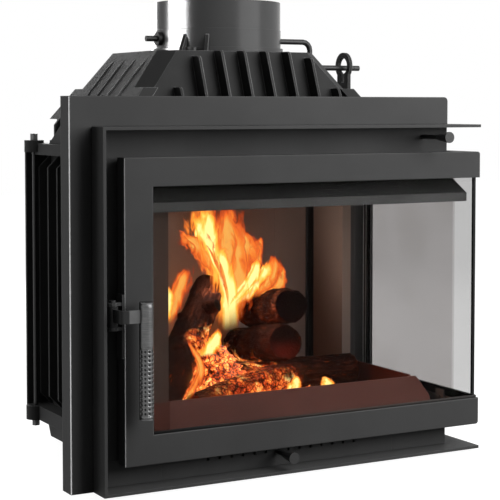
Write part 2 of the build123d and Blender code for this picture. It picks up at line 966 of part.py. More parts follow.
# Damper shaft: one rod bent into a crank whose pin enters the lever plate
shaft_start = flue_x - flue_radius - shaft_left_stub
shaft_clear_x = flue_x + band_radius + bush_length
crank_x = shaft_clear_x + (pull_rod_x - shaft_clear_x) * crank_share
pin_end_x = pull_rod_x + pin_reach
with BuildPart() as damper_shaft:
    bend_turns = [math.radians(90 * step / bend_steps) for step in range(bend_steps + 1)]
    upper_bend = [
        (
            crank_x - crank_bend + crank_bend * math.sin(turn),
            flue_y,
            shaft_z - crank_bend + crank_bend * math.cos(turn),
        )
        for turn in bend_turns
    ]
    lower_bend = [
        (
            crank_x + crank_bend - crank_bend * math.cos(turn),
            flue_y,
            pin_z + crank_bend - crank_bend * math.sin(turn),
        )
        for turn in bend_turns
    ]
    with BuildLine() as shaft_path:
        Polyline(
            (shaft_start, flue_y, shaft_z),
            *upper_bend,
            *lower_bend,
            (pin_end_x, flue_y, pin_z),
        )
    with BuildSketch(Plane.YZ.offset(shaft_start)):
        with Locations((flue_y, shaft_z)):
            Circle(shaft_radius)
    sweep(path=shaft_path.wire(), transition=Transition.RIGHT)
save(damper_shaft.part, "damper_shaft")


# Bushes that carry the shaft on both sides of the collar
with BuildPart() as shaft_bushes:
    for sign in (-1, 1):
        bush_xs = sorted((flue_x + sign * band_radius, flue_x + sign * (band_radius + bush_length)))
        rod_along_x(flue_y, shaft_z, bush_radius, bush_xs)
    rod_along_x(
        flue_y,
        shaft_z,
        shaft_radius + running_gap,
        (shaft_start, crank_x),
        mode=Mode.SUBTRACT,
    )
save(shaft_bushes.part, "shaft_bushes")


# Damper flap: a disc with a hub that grips the shaft
with BuildPart() as damper_flap:
    flap_turn = math.radians(flap_rest_angle)
    flap_plane = Plane(
        origin=(flue_x, flue_y, shaft_z),
        x_dir=(1, 0, 0),
        z_dir=(0, math.sin(flap_turn), math.cos(flap_turn)),
    )
    with BuildSketch(flap_plane.offset(-flap_thickness / 2)):
        Circle(flap_radius)
    extrude(amount=flap_thickness)
    rod_along_x(flue_y, shaft_z, flap_hub_radius, (flue_x - flap_hub_end, flue_x + flap_hub_end))
    rod_along_x(
        flue_y,
        shaft_z,
        shaft_radius,
        (flue_x - flap_radius - cut, flue_x + flap_radius + cut),
        mode=Mode.SUBTRACT,
    )
save(damper_flap.part, "damper_flap")


# Lever plate: keyhole head on a neck, with a foot clamped to the pull rod
with BuildPart() as lever_plate:
    lever_x_span = (pull_rod_x - lever_thickness / 2, pull_rod_x + lever_thickness / 2)
    hole_z = pin_z + lever_hole_rise
    rod_along_x(flue_y, hole_z, lever_head_radius, lever_x_span)
    plate_facing_x(
        [
            (flue_y - lever_neck_width / 2, hole_z),
            (flue_y - lever_neck_width / 2, pull_rod_z + 2 * lever_foot_height),
            (flue_y + lever_neck_width / 2 - lever_foot_length, pull_rod_z + lever_foot_height / 2),
            (flue_y + lever_neck_width / 2 - lever_foot_length, pull_rod_z),
            (flue_y + lever_neck_width / 2, pull_rod_z),
            (flue_y + lever_neck_width / 2, hole_z),
        ],
        lever_x_span,
    )
    rod_along_y(
        pull_rod_x,
        pull_rod_z,
        lever_sleeve_radius,
        (flue_y + lever_neck_width / 2 - lever_foot_length, flue_y + lever_neck_width / 2),
    )
    rod_along_x(
        flue_y,
        hole_z,
        lever_hole_radius,
        (lever_x_span[0] - cut, lever_x_span[1] + cut),
        mode=Mode.SUBTRACT,
    )
    bar(
        (lever_x_span[0] - cut, lever_x_span[1] + cut),
        (flue_y - lever_slot_width / 2, flue_y + lever_slot_width / 2),
        (pin_z - lever_slot_drop, hole_z),
        mode=Mode.SUBTRACT,
    )
    rod_along_y(
        pull_rod_x,
        pull_rod_z,
        pull_rod_radius,
        (front - cut, back + cut),
        mode=Mode.SUBTRACT,
    )
save(lever_plate.part, "lever_plate")


def turned_knob(name, x, z, face_y):
    """Disc knob with a flat-sided taper behind it, bored for its rod."""
    with BuildPart() as knob:
        rod_along_y(x, z, knob_radius, (face_y, face_y + knob_face))
        with BuildSketch(Plane.XZ.offset(-face_y - knob_face)):
            with Locations((x, z)):
                RegularPolygon(knob_radius, knob_sides)
        with BuildSketch(Plane.XZ.offset(-face_y - knob_length)):
            with Locations((x, z)):
                RegularPolygon(knob_neck_radius, knob_sides)
        loft(ruled=True)
        rod_along_y(
            x,
            z,
            pull_rod_radius,
            (face_y + knob_face, face_y + knob_length + cut),
            mode=Mode.SUBTRACT,
        )
    save(knob.part, name)


# Pull rod and knob of the damper
damper_knob_y = front - knob_reach
turned_knob("damper_knob", pull_rod_x, pull_rod_z, damper_knob_y)
with BuildPart() as pull_rod:
    rod_along_y(
        pull_rod_x,
        pull_rod_z,
        pull_rod_radius,
        (damper_knob_y + knob_face, body_back - pull_rod_back_inset),
    )
save(pull_rod.part, "pull_rod")

# Guides of the two control rods: two on the crown, one in the plinth
with BuildPart() as rod_guides:
    for guide_y in (front + guide_front_depth, body_back - guide_back_inset):
        bar(
            (pull_rod_x - guide_width / 2, pull_rod_x + guide_width / 2),
            (guide_y, guide_y + guide_length),
            (crown_top, crown_top + guide_height),
        )
    rod_along_y(
        pull_rod_x,
        pull_rod_z,
        pull_rod_radius + running_gap,
        (front, back),
        mode=Mode.SUBTRACT,
    )
    bar(
        (air_rod_x - air_guide_width / 2, air_rod_x + air_guide_width / 2),
        (front + air_guide_depth, front + air_guide_depth + guide_length),
        (pad_height + plinth_wall, plinth_height),
    )
    rod_along_y(
        air_rod_x,
        air_rod_height,
        pull_rod_radius + running_gap,
        (front, back),
        mode=Mode.SUBTRACT,
    )
save(rod_guides.part, "rod_guides")


# Air control: knob, rod and the valve plate behind the plinth's front wall
air_knob_y = front - air_knob_reach
turned_knob("air_knob", air_rod_x, air_rod_height, air_knob_y)
with BuildPart() as air_rod:
    rod_along_y(
        air_rod_x,
        air_rod_height,
        pull_rod_radius,
        (air_knob_y + knob_face, front + air_rod_tail),
    )
save(air_rod.part, "air_rod")

valve_y = front + plinth_front + plinth_wall + valve_rest_gap
with BuildPart() as air_valve_plate:
    bar(
        (
            air_rod_x - air_gap_half_width - valve_margin,
            air_rod_x + air_gap_half_width + valve_margin,
        ),
        (valve_y, valve_y + valve_thickness),
        (valve_bottom, plinth_height - pull_rod_radius / 2),
    )
    rod_along_y(
        air_rod_x,
        air_rod_height,
        pull_rod_radius,
        (valve_y - cut, valve_y + valve_thickness + cut),
        mode=Mode.SUBTRACT,
    )
save(air_valve_plate.part, "air_valve_plate")


# Mask brackets: two gussets on the crown and one strap at the foot
with BuildPart() as mask_brackets:
    bracket_outline = [
        (front + mask_sheet, collar_top + seat_gap),
        (front + mask_sheet, mask_top - bracket_drop),
        (front + mask_fold, mask_top - bracket_drop),
        (front + body_depth * bracket_slope_share, collar_top),
        (front + body_depth * bracket_tail_share, crown_top),
        (front + front_lug_depth + lug_radius + seat_gap, crown_top),
        (front + front_lug_depth + lug_radius + seat_gap, lug_top),
        (body_front + seat_gap, lug_top),
        (body_front + seat_gap, collar_top + seat_gap),
    ]
    for bracket_x in (body_left + bracket_inset, side_inner - lug_radius):
        plate_facing_x(bracket_outline, (bracket_x, bracket_x + mask_sheet))
    bar(
        (left + mask_sheet, body_left),
        (body_front, front + mask_fold),
        (plinth_height, plinth_height + mask_sheet),
    )
save(mask_brackets.part, "mask_brackets")


# Chamber liners
chamber_left = left_inner + liner_thickness
with BuildPart() as left_liner:
    bar(
        (left_inner, left_inner + liner_thickness),
        (body_front, body_back),
        (hearth_top, liner_top),
    )
save(left_liner.part, "left_liner")

rear_liner_face = body_back - liner_thickness
rear_liner_split = side_inner - rear_liner_split_inset
rear_liner_end = side_inner - rear_liner_end_inset
with BuildPart() as rear_liners:
    for x_span in (
        (chamber_left, rear_liner_split),
        (rear_liner_split + seat_gap, rear_liner_end),
    ):
        bar(x_span, (rear_liner_face, body_back), (hearth_top, liner_top))
save(rear_liners.part, "rear_liners")

with BuildPart() as right_liner:
    bar(
        (side_inner - side_liner_thickness, side_inner),
        (window_rear, rear_liner_face),
        (hearth_top, liner_top),
    )
save(right_liner.part, "right_liner")


# Hearth plate with a hole for the grate
with BuildPart() as hearth_plate:
    bar((left_inner, side_inner), (body_front, body_back), (base_top, hearth_top))
    bar(
        (grate_x - grate_half_width, grate_x + grate_half_width),
        (grate_y - grate_half_depth, grate_y + grate_half_depth),
        (base_top - cut, hearth_top + cut),
        mode=Mode.SUBTRACT,
    )
    post(
        inner_rod_x,
        inner_rod_y,
        tie_rod_radius + seat_gap,
        (base_top - cut, hearth_top + cut),
        mode=Mode.SUBTRACT,
    )
save(hearth_plate.part, "hearth_plate")

with BuildPart() as grate:
    bar(
        (grate_x - grate_half_width + seat_gap, grate_x + grate_half_width - seat_gap),
        (grate_y - grate_half_depth + seat_gap, grate_y + grate_half_depth - seat_gap),
        (base_top, hearth_top),
    )
    for offset_x in spread(grate_slot_count, grate_slot_pitch):
        bar(
            (
                grate_x + offset_x - grate_slot_width / 2,
                grate_x + offset_x + grate_slot_width / 2,
            ),
            (grate_y - grate_half_depth + grate_rim, grate_y + grate_half_depth - grate_rim),
            (base_top - cut, hearth_top + cut),
            mode=Mode.SUBTRACT,
        )
save(grate.part, "grate")

pan_half_width = shelf_half_width - ash_pan_margin
pan_half_depth = shelf_half_depth - ash_pan_margin
pan_bottom = pad_height + plinth_wall
with BuildPart() as ash_pan:
    bar(
        (grate_x - pan_half_width, grate_x + pan_half_width),
        (grate_y - pan_half_depth, grate_y + pan_half_depth),
        (pan_bottom, pan_bottom + ash_pan_height),
    )
    bar(
        (grate_x - pan_half_width + ash_pan_wall, grate_x + pan_half_width - ash_pan_wall),
        (grate_y - pan_half_depth + ash_pan_wall, grate_y + pan_half_depth - ash_pan_wall),
        (pan_bottom + ash_pan_wall, pan_bottom + ash_pan_height + cut),
        mode=Mode.SUBTRACT,
    )
save(ash_pan.part, "ash_pan")


# Smoke baffle on two rails
baffle_level = liner_top + rail_rise + rail_height
with BuildPart() as baffle_rails:
    for x_span in (
        (left_inner, left_inner + rail_width),
        (side_inner - rail_width, side_inner),
    ):
        bar(x_span, (front + rail_front, rear_liner_face), (baffle_level - rail_height, baffle_level))
save(baffle_rails.part, "baffle_rails")

with BuildPart() as smoke_baffle:
    bar(
        (left_inner + seat_gap, side_inner - seat_gap),
        (front + baffle_front, rear_liner_face),
        (baffle_level, baffle_level + baffle_thickness),
    )
save(smoke_baffle.part, "smoke_baffle")


# Log guards: a leaning sheet at the front and a low one along the side window
guard_bottom_y = front + guard_foot_depth
guard_top_y = front + guard_top_depth
guard_right = side_inner - guard_right_gap
with BuildPart() as log_guards:
    plate_facing_x(
        [
            (guard_bottom_y, hearth_top),
            (guard_top_y, guard_top),
            (guard_top_y + guard_sheet, guard_top),
            (guard_bottom_y + guard_sheet * 2, hearth_top + guard_sheet),
            (guard_bottom_y + guard_foot, hearth_top + guard_sheet),
            (guard_bottom_y + guard_foot, hearth_top),
        ],
        (chamber_left + seat_gap, guard_right),
    )
    plate_facing_y(
        [
            (guard_right - guard_chamfer, guard_top + cut),
            (guard_right - guard_chamfer, guard_top),
            (guard_right, guard_top - guard_chamfer * 2),
            (guard_right + cut, guard_top - guard_chamfer * 2),
            (guard_right + cut, guard_top + cut),
        ],
        (front, guard_top_y + guard_foot),
        mode=Mode.SUBTRACT,
    )
    plate_facing_x(
        [
            (front + side_guard_front, hearth_top),
            (front + side_guard_front, side_guard_top - side_guard_chamfer),
            (front + side_guard_front + side_guard_chamfer, side_guard_top),
            (window_rear - seat_gap, side_guard_top),
            (window_rear - seat_gap, hearth_top),
        ],
        (side_inner - guard_sheet, side_inner),
    )
save(log_guards.part, "log_guards")


# Air-wash deflector behind the top of the glass
deflector_lip_bottom = window_head - deflector_drop
deflector_lip_top = deflector_lip_bottom + deflector_lip
deflector_top = window_head + deflector_lap
deflector_left = window_left - deflector_side_lap
deflector_right = right - deflector_right_inset
with BuildPart() as air_wash_deflector:
    plate_facing_x(
        [
            (front - deflector_front, deflector_lip_bottom),
            (front - deflector_front + deflector_sheet, deflector_lip_bottom),
            (front - deflector_front + deflector_sheet, deflector_lip_top),
            (front, deflector_top - mask_corner_radius),
            (front, deflector_top),
            (front - deflector_sheet, deflector_top),
            (front - deflector_front, deflector_lip_top),
        ],
        (deflector_left, deflector_right),
    )
    corner_drop = deflector_top - deflector_lip_top
    plate_facing_y(
        [
            (deflector_right + cut, deflector_lip_top - cut),
            (deflector_right + cut, deflector_top + cut),
            (deflector_right - corner_drop - cut, deflector_top + cut),
        ],
        (front - deflector_front - cut, front + cut),
        mode=Mode.SUBTRACT,
    )
save(air_wash_deflector.part, "air_wash_deflector")


def log_body(near, far, radius):
    """Round log between the middles of its two ends."""
    axis = Vector(*far) - Vector(*near)
    with BuildSketch(Plane(origin=near, z_dir=axis)) as outline:
        Circle(radius)
    extrude(outline.sketch, amount=axis.length, dir=axis)


def log_pocket(near, far, radius):
    """Flat-sided hollow that a log lies in, a little longer than the log."""
    axis = Vector(*far) - Vector(*near)
    step_out = axis.normalized() * cut
    with BuildSketch(Plane(origin=Vector(*near) - step_out, z_dir=axis)) as outline:
        RegularPolygon(radius, pocket_sides, major_radius=False)
    extrude(outline.sketch, amount=axis.length + 2 * cut, dir=axis, mode=Mode.SUBTRACT)


# Logs: two on the hearth, a pair one on the other across them, one leaning.
# The whole heap is scaled to the chamber, so the logs keep resting on each other.
chamber_x = (side_inner + chamber_left) / 2
fire_size = min(side_inner - chamber_left, (rear_liner_face - body_front) * fire_depth_share)


def laid(shares):
    """Place in the chamber of a point of the fire's layout."""
    return (
        chamber_x + shares[0] * fire_size,
        front + shares[1] * fire_size,
        hearth_top + seat_gap + shares[2] * fire_size,
    )


logs = {
    name: (laid(near), laid(far), radius * fire_size)
    for name, (near, far, radius) in log_shares.items()
}
for log_name, (log_near, log_far, log_size) in logs.items():
    with BuildPart() as log:
        log_body(log_near, log_far, log_size)
    save(log.part, log_name)


# Ember bed: a low heap that the logs are bedded in
ember_middle = (
    chamber_x + ember_x_share * fire_size,
    front + (ember_front_share + ember_back_share) / 2 * fire_size,
)
ember_width = 2 * ember_half_width_share * fire_size
ember_length = (ember_back_share - ember_front_share) * fire_size
ember_taper = 2 * ember_slope_share * fire_size
with BuildPart() as ember_bed:
    with BuildSketch(Plane.XY.offset(hearth_top)):
        with Locations(ember_middle):
            Rectangle(ember_width, ember_length)
    with BuildSketch(Plane.XY.offset(hearth_top + ember_height_share * fire_size)):
        with Locations(ember_middle):
            Rectangle(ember_width - ember_taper, ember_length - ember_taper)
    loft()
    for log_near, log_far, log_size in logs.values():
        log_pocket(log_near, log_far, log_size + seat_gap)
save(ember_bed.part, "ember_bed")


# Door frame: front and side in one L, stepped inside for the glass and clips
opening_left = door_left + door_stile
rebate_low = glass_low - door_rebate
rebate_high = glass_high + door_rebate
step_low = rebate_low - door_step
step_high = rebate_high + door_step
glass_front = door_front + door_lip
glass_side = right - door_lip
glass_rear = door_rear - door_rear_stile
with BuildPart() as door_frame:
    bar((door_left, right), (door_front, door_back), (door_foot, door_top))
    bar((door_side_inner, right), (door_back, door_rear), (door_foot, door_top))
    fillet(
        door_frame.edges().filter_by(Axis.Y).filter_by_position(Axis.X, right - cut, right + cut),
        radius=door_corner_radius,
    )
    bar(
        (opening_left, right + cut),
        (door_front - cut, door_back + cut),
        (glass_low, glass_high),
        Mode.SUBTRACT,
    )
    bar(
        (door_side_inner - cut, right + cut),
        (door_front - cut, glass_rear),
        (glass_low, glass_high),
        Mode.SUBTRACT,
    )
    bar(
        (opening_left - door_rebate, glass_side),
        (glass_front, door_back + cut),
        (rebate_low, rebate_high),
        Mode.SUBTRACT,
    )
    bar(
        (door_side_inner - cut, glass_side),
        (glass_front, glass_rear + door_rebate),
        (rebate_low, rebate_high),
        Mode.SUBTRACT,
    )
    bar(
        (opening_left - door_rebate - door_step, glass_side - glass_thickness),
        (glass_front + glass_thickness, door_back + cut),
        (step_low, step_high),
        Mode.SUBTRACT,
    )
    bar(
        (door_side_inner - cut, glass_side - glass_thickness),
        (glass_front + glass_thickness, glass_rear + door_rebate + door_step / 2),
        (step_low, step_high),
        Mode.SUBTRACT,
    )
save(door_frame.part, "door_frame")


# Glass panes, butted at the corner behind a seal
pane_low = rebate_low + glass_edge_gap
pane_high = rebate_high - glass_edge_gap
with BuildPart() as front_glass:
    bar(
        (opening_left - door_rebate + glass_edge_gap, glass_side - glass_thickness),
        (glass_front, glass_front + glass_thickness),
        (pane_low, pane_high),
    )
save(front_glass.part, "front_glass")

with BuildPart() as side_glass:
    bar(
        (glass_side - glass_thickness, glass_side),
        (glass_front + glass_thickness, glass_rear + door_rebate - glass_edge_gap),
        (pane_low, pane_high),
    )
save(side_glass.part, "side_glass")

with BuildPart() as corner_seal:
    bar(
        (glass_side - glass_thickness, glass_side),
        (glass_front, glass_front + glass_thickness),
        (pane_low, pane_high),
    )
save(corner_seal.part, "corner_seal")


# Clips that hold the panes, each with a screw into the frame
clip_inner_y = glass_front + glass_thickness
clip_inner_x = glass_side - glass_thickness
front_span = glass_side - opening_left
side_span = glass_rear - glass_front
front_clip_xs = [opening_left + front_span * share for share in (clip_share, 1 - clip_share)]
side_clip_ys = [glass_front + side_span * share for share in (clip_share, 1 - clip_share)]
clip_zs = (rebate_low - clip_width / 2, rebate_high - clip_width / 2)
with BuildPart() as glass_clips:
    for clip_x in front_clip_xs:
        for clip_z in clip_zs:
            bar(
                (clip_x - clip_length / 2, clip_x + clip_length / 2),
                (clip_inner_y, clip_inner_y + clip_sheet),
                (clip_z, clip_z + clip_width),
            )
    for clip_y in side_clip_ys:
        for clip_z in clip_zs:
            bar(
                (clip_inner_x - clip_sheet, clip_inner_x),
                (clip_y - clip_length / 2, clip_y + clip_length / 2),
                (clip_z, clip_z + clip_width),
            )
save(glass_clips.part, "glass_clips")

with BuildPart() as clip_screws:
    screw_zs = (rebate_low - clip_screw_radius - seat_gap, rebate_high + clip_screw_radius + seat_gap)
    for clip_x in front_clip_xs:
        for screw_z in screw_zs:
            with BuildSketch(Plane.XZ.offset(-clip_inner_y - clip_sheet)) as head:
                with Locations((clip_x, screw_z)):
                    RegularPolygon(clip_screw_radius, 6, major_radius=False)
            extrude(head.sketch, amount=clip_screw_height, dir=(0, 1, 0))
    for clip_y in side_clip_ys:
        for screw_z in screw_zs:
            with BuildSketch(Plane.YZ.offset(clip_inner_x - clip_sheet)) as head:
                with Locations((clip_y, screw_z)):
                    RegularPolygon(clip_screw_radius, 6, major_radius=False)
            extrude(head.sketch, amount=clip_screw_height, dir=(-1, 0, 0))
save(clip_screws.part, "clip_screws")


# Rope seal on the door's inner face, front and side
rope_low = door_foot + rope_inset
rope_high = door_top - rope_inset
rope_left = door_left + rope_inset
rope_rear = door_rear - rope_inset
rope_face = front - rope_gap
rope_side_face = side_face + rope_gap
with BuildPart() as door_rope:
    bar((rope_left, door_side_inner), (door_back, rope_face), (rope_low, rope_high))
    bar((rope_side_face, door_side_inner), (rope_face, rope_rear), (rope_low, rope_high))
    bar(
        (rope_left + rope_width, right),
        (door_back - cut, rope_face),
        (rope_low + rope_width, rope_high - rope_width),
        Mode.SUBTRACT,
    )
    bar(
        (rope_side_face - cut, right),
        (door_back - cut, rope_rear - rope_width),
        (rope_low + rope_width, rope_high - rope_width),
        Mode.SUBTRACT,
    )
save(door_rope.part, "door_rope")


# Hinges: ears on the body, lugs on the door's rear stile, pins through both
hinge_bottoms = (
    door_foot + hinge_end_inset,
    door_top - hinge_end_inset - hinge_lug_height,
)
with BuildPart() as door_hinge_lugs:
    for lug_bottom in hinge_bottoms:
        lug_span = (lug_bottom, lug_bottom + hinge_lug_height)
        bar((hinge_x - knuckle_radius, hinge_x + knuckle_radius), (door_rear, hinge_y), lug_span)
        prism(hinge_x, hinge_y, knuckle_radius, 12, lug_span)
    post(hinge_x, hinge_y, hinge_pin_radius + running_gap, (0, door_top), Mode.SUBTRACT)
save(door_hinge_lugs.part, "door_hinge_lugs")

with BuildPart() as hinge_brackets:
    for lug_bottom in hinge_bottoms:
        ear_low = lug_bottom - seat_gap - hinge_ear_height
        ear_high = lug_bottom + hinge_lug_height + seat_gap
        ear_spans = ((ear_low, ear_low + hinge_ear_height), (ear_high, ear_high + hinge_ear_height))
        bar(
            (side_face, side_face + hinge_plate),
            (hinge_y - knuckle_radius, hinge_y + knuckle_radius),
            (ear_low, ear_high + hinge_ear_height),
        )
        for ear_span in ear_spans:
            bar((side_face, hinge_x), (hinge_y - knuckle_radius, hinge_y + knuckle_radius), ear_span)
            prism(hinge_x, hinge_y, knuckle_radius, 12, ear_span)
    post(hinge_x, hinge_y, hinge_pin_radius + running_gap, (0, door_top), Mode.SUBTRACT)
save(hinge_brackets.part, "hinge_brackets")

with BuildPart() as hinge_pins:
    for lug_bottom in hinge_bottoms:
        pin_low = lug_bottom - seat_gap - hinge_ear_height
        pin_high = lug_bottom + hinge_lug_height + seat_gap + hinge_ear_height
        post(hinge_x, hinge_y, hinge_pin_radius, (pin_low, pin_high))
        post(hinge_x, hinge_y, hinge_pin_head, (pin_high, pin_high + hinge_pin_head_height))
save(hinge_pins.part, "hinge_pins")


# Handle: perforated tube on a bent arm that turns on a pin beside the door
pivot_x = door_left - pivot_outset
pivot_y = front - pivot_reach
handle_x = door_left + handle_inset
handle_y = front - handle_reach
arm_span = (arm_bottom, arm_bottom + arm_height)
arm_y_span = (handle_y - arm_thickness / 2, handle_y + arm_thickness / 2)
tube_span = (handle_bottom + handle_cap, handle_bottom + handle_length - handle_cap)
with BuildPart() as handle_tube:
    post(handle_x, handle_y, handle_radius, tube_span)
    post(
        handle_x,
        handle_y,
        handle_radius - handle_wall,
        (tube_span[0] - cut, tube_span[1] + cut),
        mode=Mode.SUBTRACT,
    )
    bar((pivot_x, handle_x), arm_y_span, arm_span, Mode.SUBTRACT)
save(handle_tube.part, "handle_tube")

with BuildPart() as handle_caps:
    for cap_z in (handle_bottom, tube_span[1]):
        post(handle_x, handle_y, handle_radius, (cap_z, cap_z + handle_cap))
save(handle_caps.part, "handle_caps")

hub_span = (hub_bottom, hub_bottom + hub_height)
hook_span = (hub_bottom, hub_bottom + hook_height)
nose_y = (front - hook_nose_back - hook_nose, front - hook_nose_back)
with BuildPart() as handle_lever:
    arm_left = pivot_x - arm_thickness / 2
    bar((arm_left, handle_x), arm_y_span, arm_span)
    bar((arm_left, arm_left + arm_thickness), (arm_y_span[0], pivot_y), arm_span)
    outer_corner = handle_lever.edges().filter_by(Axis.Z).group_by(Axis.X)[0].sort_by(Axis.Y)[0]
    fillet(outer_corner, radius=arm_thickness)
    post(pivot_x, pivot_y, hub_radius, hub_span)
    bar((pivot_x - hook_shank / 2, pivot_x + hook_shank / 2), (pivot_y, nose_y[1]), hook_span)
    bar((pivot_x - hook_nose_reach, pivot_x), nose_y, hook_span)
    post(
        pivot_x,
        pivot_y,
        pivot_radius + running_gap,
        (hub_bottom - cut, hub_bottom + hub_height + cut),
        mode=Mode.SUBTRACT,
    )
save(handle_lever.part, "handle_lever")

bracket_top = bracket_bottom + bracket_height
ear_low_span = (hub_bottom - seat_gap - bracket_ear, hub_bottom - seat_gap)
ear_high_span = (hub_span[1] + seat_gap, hub_span[1] + seat_gap + bracket_ear)
with BuildPart() as latch_bracket:
    bar(
        (door_left - bracket_sheet, door_left),
        (front - bracket_front, front - bracket_back),
        (bracket_bottom, bracket_top),
    )
    for ear_span in (ear_low_span, ear_high_span):
        bar((pivot_x, door_left), (pivot_y - hub_radius + bracket_sheet, pivot_y + hub_radius), ear_span)
        prism(pivot_x, pivot_y, hub_radius, 12, ear_span)
    post(
        pivot_x,
        pivot_y,
        pivot_radius + running_gap,
        (bracket_bottom, bracket_top),
        mode=Mode.SUBTRACT,
    )
save(latch_bracket.part, "latch_bracket")

with BuildPart() as handle_pin:
    post(pivot_x, pivot_y, pivot_radius, (ear_low_span[0], ear_high_span[1]))
    post(
        pivot_x,
        pivot_y,
        pivot_radius + handle_wall,
        (ear_high_span[1], ear_high_span[1] + bracket_sheet),
    )
save(handle_pin.part, "handle_pin")

keeper_x = collar_left + keeper_inset
keeper_y = front - keeper_reach
keeper_mid = (hook_span[0] + hook_span[1]) / 2
with BuildPart() as latch_keeper:
    bar(
        (frame_left, frame_left + keeper_sheet),
        (keeper_y - keeper_ear_width / 2, keeper_y + keeper_ear_width / 2),
        (keeper_mid - keeper_plate_height / 2, keeper_mid + keeper_plate_height / 2),
    )
    for ear_mid in (keeper_mid - keeper_pin_length / 2, keeper_mid + keeper_pin_length / 2):
        bar(
            (frame_left, keeper_x),
            (keeper_y - keeper_ear_width / 2, keeper_y + keeper_ear_width / 2),
            (ear_mid - keeper_ear / 2, ear_mid + keeper_ear / 2),
        )
    post(
        keeper_x,
        keeper_y,
        keeper_pin_radius,
        (
            keeper_mid - keeper_pin_length / 2 - keeper_ear / 2,
            keeper_mid + keeper_pin_length / 2 + keeper_ear / 2,
        ),
    )
save(latch_keeper.part, "latch_keeper")
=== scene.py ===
"""Looks for the cast iron fireplace insert: finishes, logs, embers, flames, handle and studio."""
import math

import bmesh
import bpy
import numpy as np
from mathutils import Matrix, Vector


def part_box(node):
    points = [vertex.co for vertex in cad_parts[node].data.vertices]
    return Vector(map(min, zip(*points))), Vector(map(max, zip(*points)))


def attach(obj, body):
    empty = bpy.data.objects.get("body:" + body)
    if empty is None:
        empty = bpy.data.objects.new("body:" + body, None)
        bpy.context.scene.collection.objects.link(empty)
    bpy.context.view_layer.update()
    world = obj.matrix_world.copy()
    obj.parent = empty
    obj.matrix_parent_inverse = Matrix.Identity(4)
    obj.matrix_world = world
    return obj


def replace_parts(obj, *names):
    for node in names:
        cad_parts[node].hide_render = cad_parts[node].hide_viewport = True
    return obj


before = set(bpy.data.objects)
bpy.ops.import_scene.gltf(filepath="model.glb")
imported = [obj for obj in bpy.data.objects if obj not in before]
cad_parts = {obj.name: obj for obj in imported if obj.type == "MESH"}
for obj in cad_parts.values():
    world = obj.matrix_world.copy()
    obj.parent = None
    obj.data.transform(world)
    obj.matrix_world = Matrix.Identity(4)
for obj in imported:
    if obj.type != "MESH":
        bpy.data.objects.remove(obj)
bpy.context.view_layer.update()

# Places read from the frame, in metres
face_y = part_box("mask_plate")[0][1]
hearth_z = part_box("hearth_plate")[1][2]
hot_spot = (-0.03, face_y + 0.135, hearth_z + 0.07)
hot_reach = 0.06
low_glow_top = hearth_z + 0.058
deflector_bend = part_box("air_wash_deflector")[0][2] + 0.012
arm_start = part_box("handle_pin")[1][0] + 0.005
clear_strip_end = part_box("side_glass")[0][1] + 0.044


# Shader nodes

def node(tree, kind, values=None, **settings):
    """A shader node with its settings; values are constants or sockets to link from."""
    made = tree.nodes.new(kind)
    for name, value in settings.items():
        setattr(made, name, value)
    for name, value in (values or {}).items():
        if isinstance(value, bpy.types.NodeSocket):
            tree.links.new(value, made.inputs[name])
        else:
            made.inputs[name].default_value = value
    return made


def colour(value):
    """Four numbers from a grey level or from red, green and blue."""
    if isinstance(value, (int, float)):
        return (value, value, value, 1)
    return (*value, 1)


def math_node(tree, operation, first, second=0.5, clamp=False):
    """Result of one arithmetic step."""
    values = {0: first, 1: second}
    return node(tree, "ShaderNodeMath", values, operation=operation, use_clamp=clamp).outputs[0]


def vector_math(tree, operation, first, second):
    """Result of one step on vectors: a number for a dot product or a distance, else a vector."""
    made = node(tree, "ShaderNodeVectorMath", {0: first, 1: second}, operation=operation)
    return made.outputs["Value" if operation in ("DOT_PRODUCT", "DISTANCE") else "Vector"]


def scaled(tree, vector, amount):
    """Colour or vector times a number."""
    made = node(tree, "ShaderNodeVectorMath", {0: vector, "Scale": amount}, operation="SCALE")
    return made.outputs["Vector"]


def object_place(tree):
    """Object coordinates."""
    return node(tree, "ShaderNodeTexCoord").outputs["Object"]


def part_of(tree, vector, axis):
    """One coordinate of a vector."""
    return node(tree, "ShaderNodeSeparateXYZ", {0: vector}).outputs[axis]


def noise(tree, place, scale, detail, roughness=0.5, distortion=0.0):
    """Value of a noise texture."""
    values = {
        "Vector": place,
        "Scale": scale,
        "Detail": detail,
        "Roughness": roughness,
        "Distortion": distortion,
    }
    return node(tree, "ShaderNodeTexNoise", values).outputs["Fac"]


def stretched(tree, vector, scale):
    """Coordinates stretched differently along each axis."""
    return node(tree, "ShaderNodeMapping", {"Vector": vector, "Scale": scale}).outputs[0]


def blend_colour(tree, factor, first, second):
    """Colour between two colours."""
    mix = node(tree, "ShaderNodeMix", data_type="RGBA")
    for index, value in ((0, factor), (6, first), (7, second)):
        if isinstance(value, bpy.types.NodeSocket):
            tree.links.new(value, mix.inputs[index])
        else:
            mix.inputs[index].default_value = value
    return mix.outputs[2]


def remap(tree, value, low, high, out_low=0, out_high=1):
    """Value moved smoothly from one range to another and held inside it."""
    made = node(
        tree,
        "ShaderNodeMapRange",
        {"Value": value, "From Min": low, "From Max": high, "To Min": out_low, "To Max": out_high},
        interpolation_type="SMOOTHSTEP",
    )
    return made.outputs["Result"]


def fill_ramp(ramp, stops):
    """Sets a colour ramp's stops from pairs of place and colour."""
    while len(ramp.color_ramp.elements) < len(stops):
        ramp.color_ramp.elements.new(0.5)
    for element, (position, tone) in zip(ramp.color_ramp.elements, stops):
        element.position = position
        element.color = colour(tone)


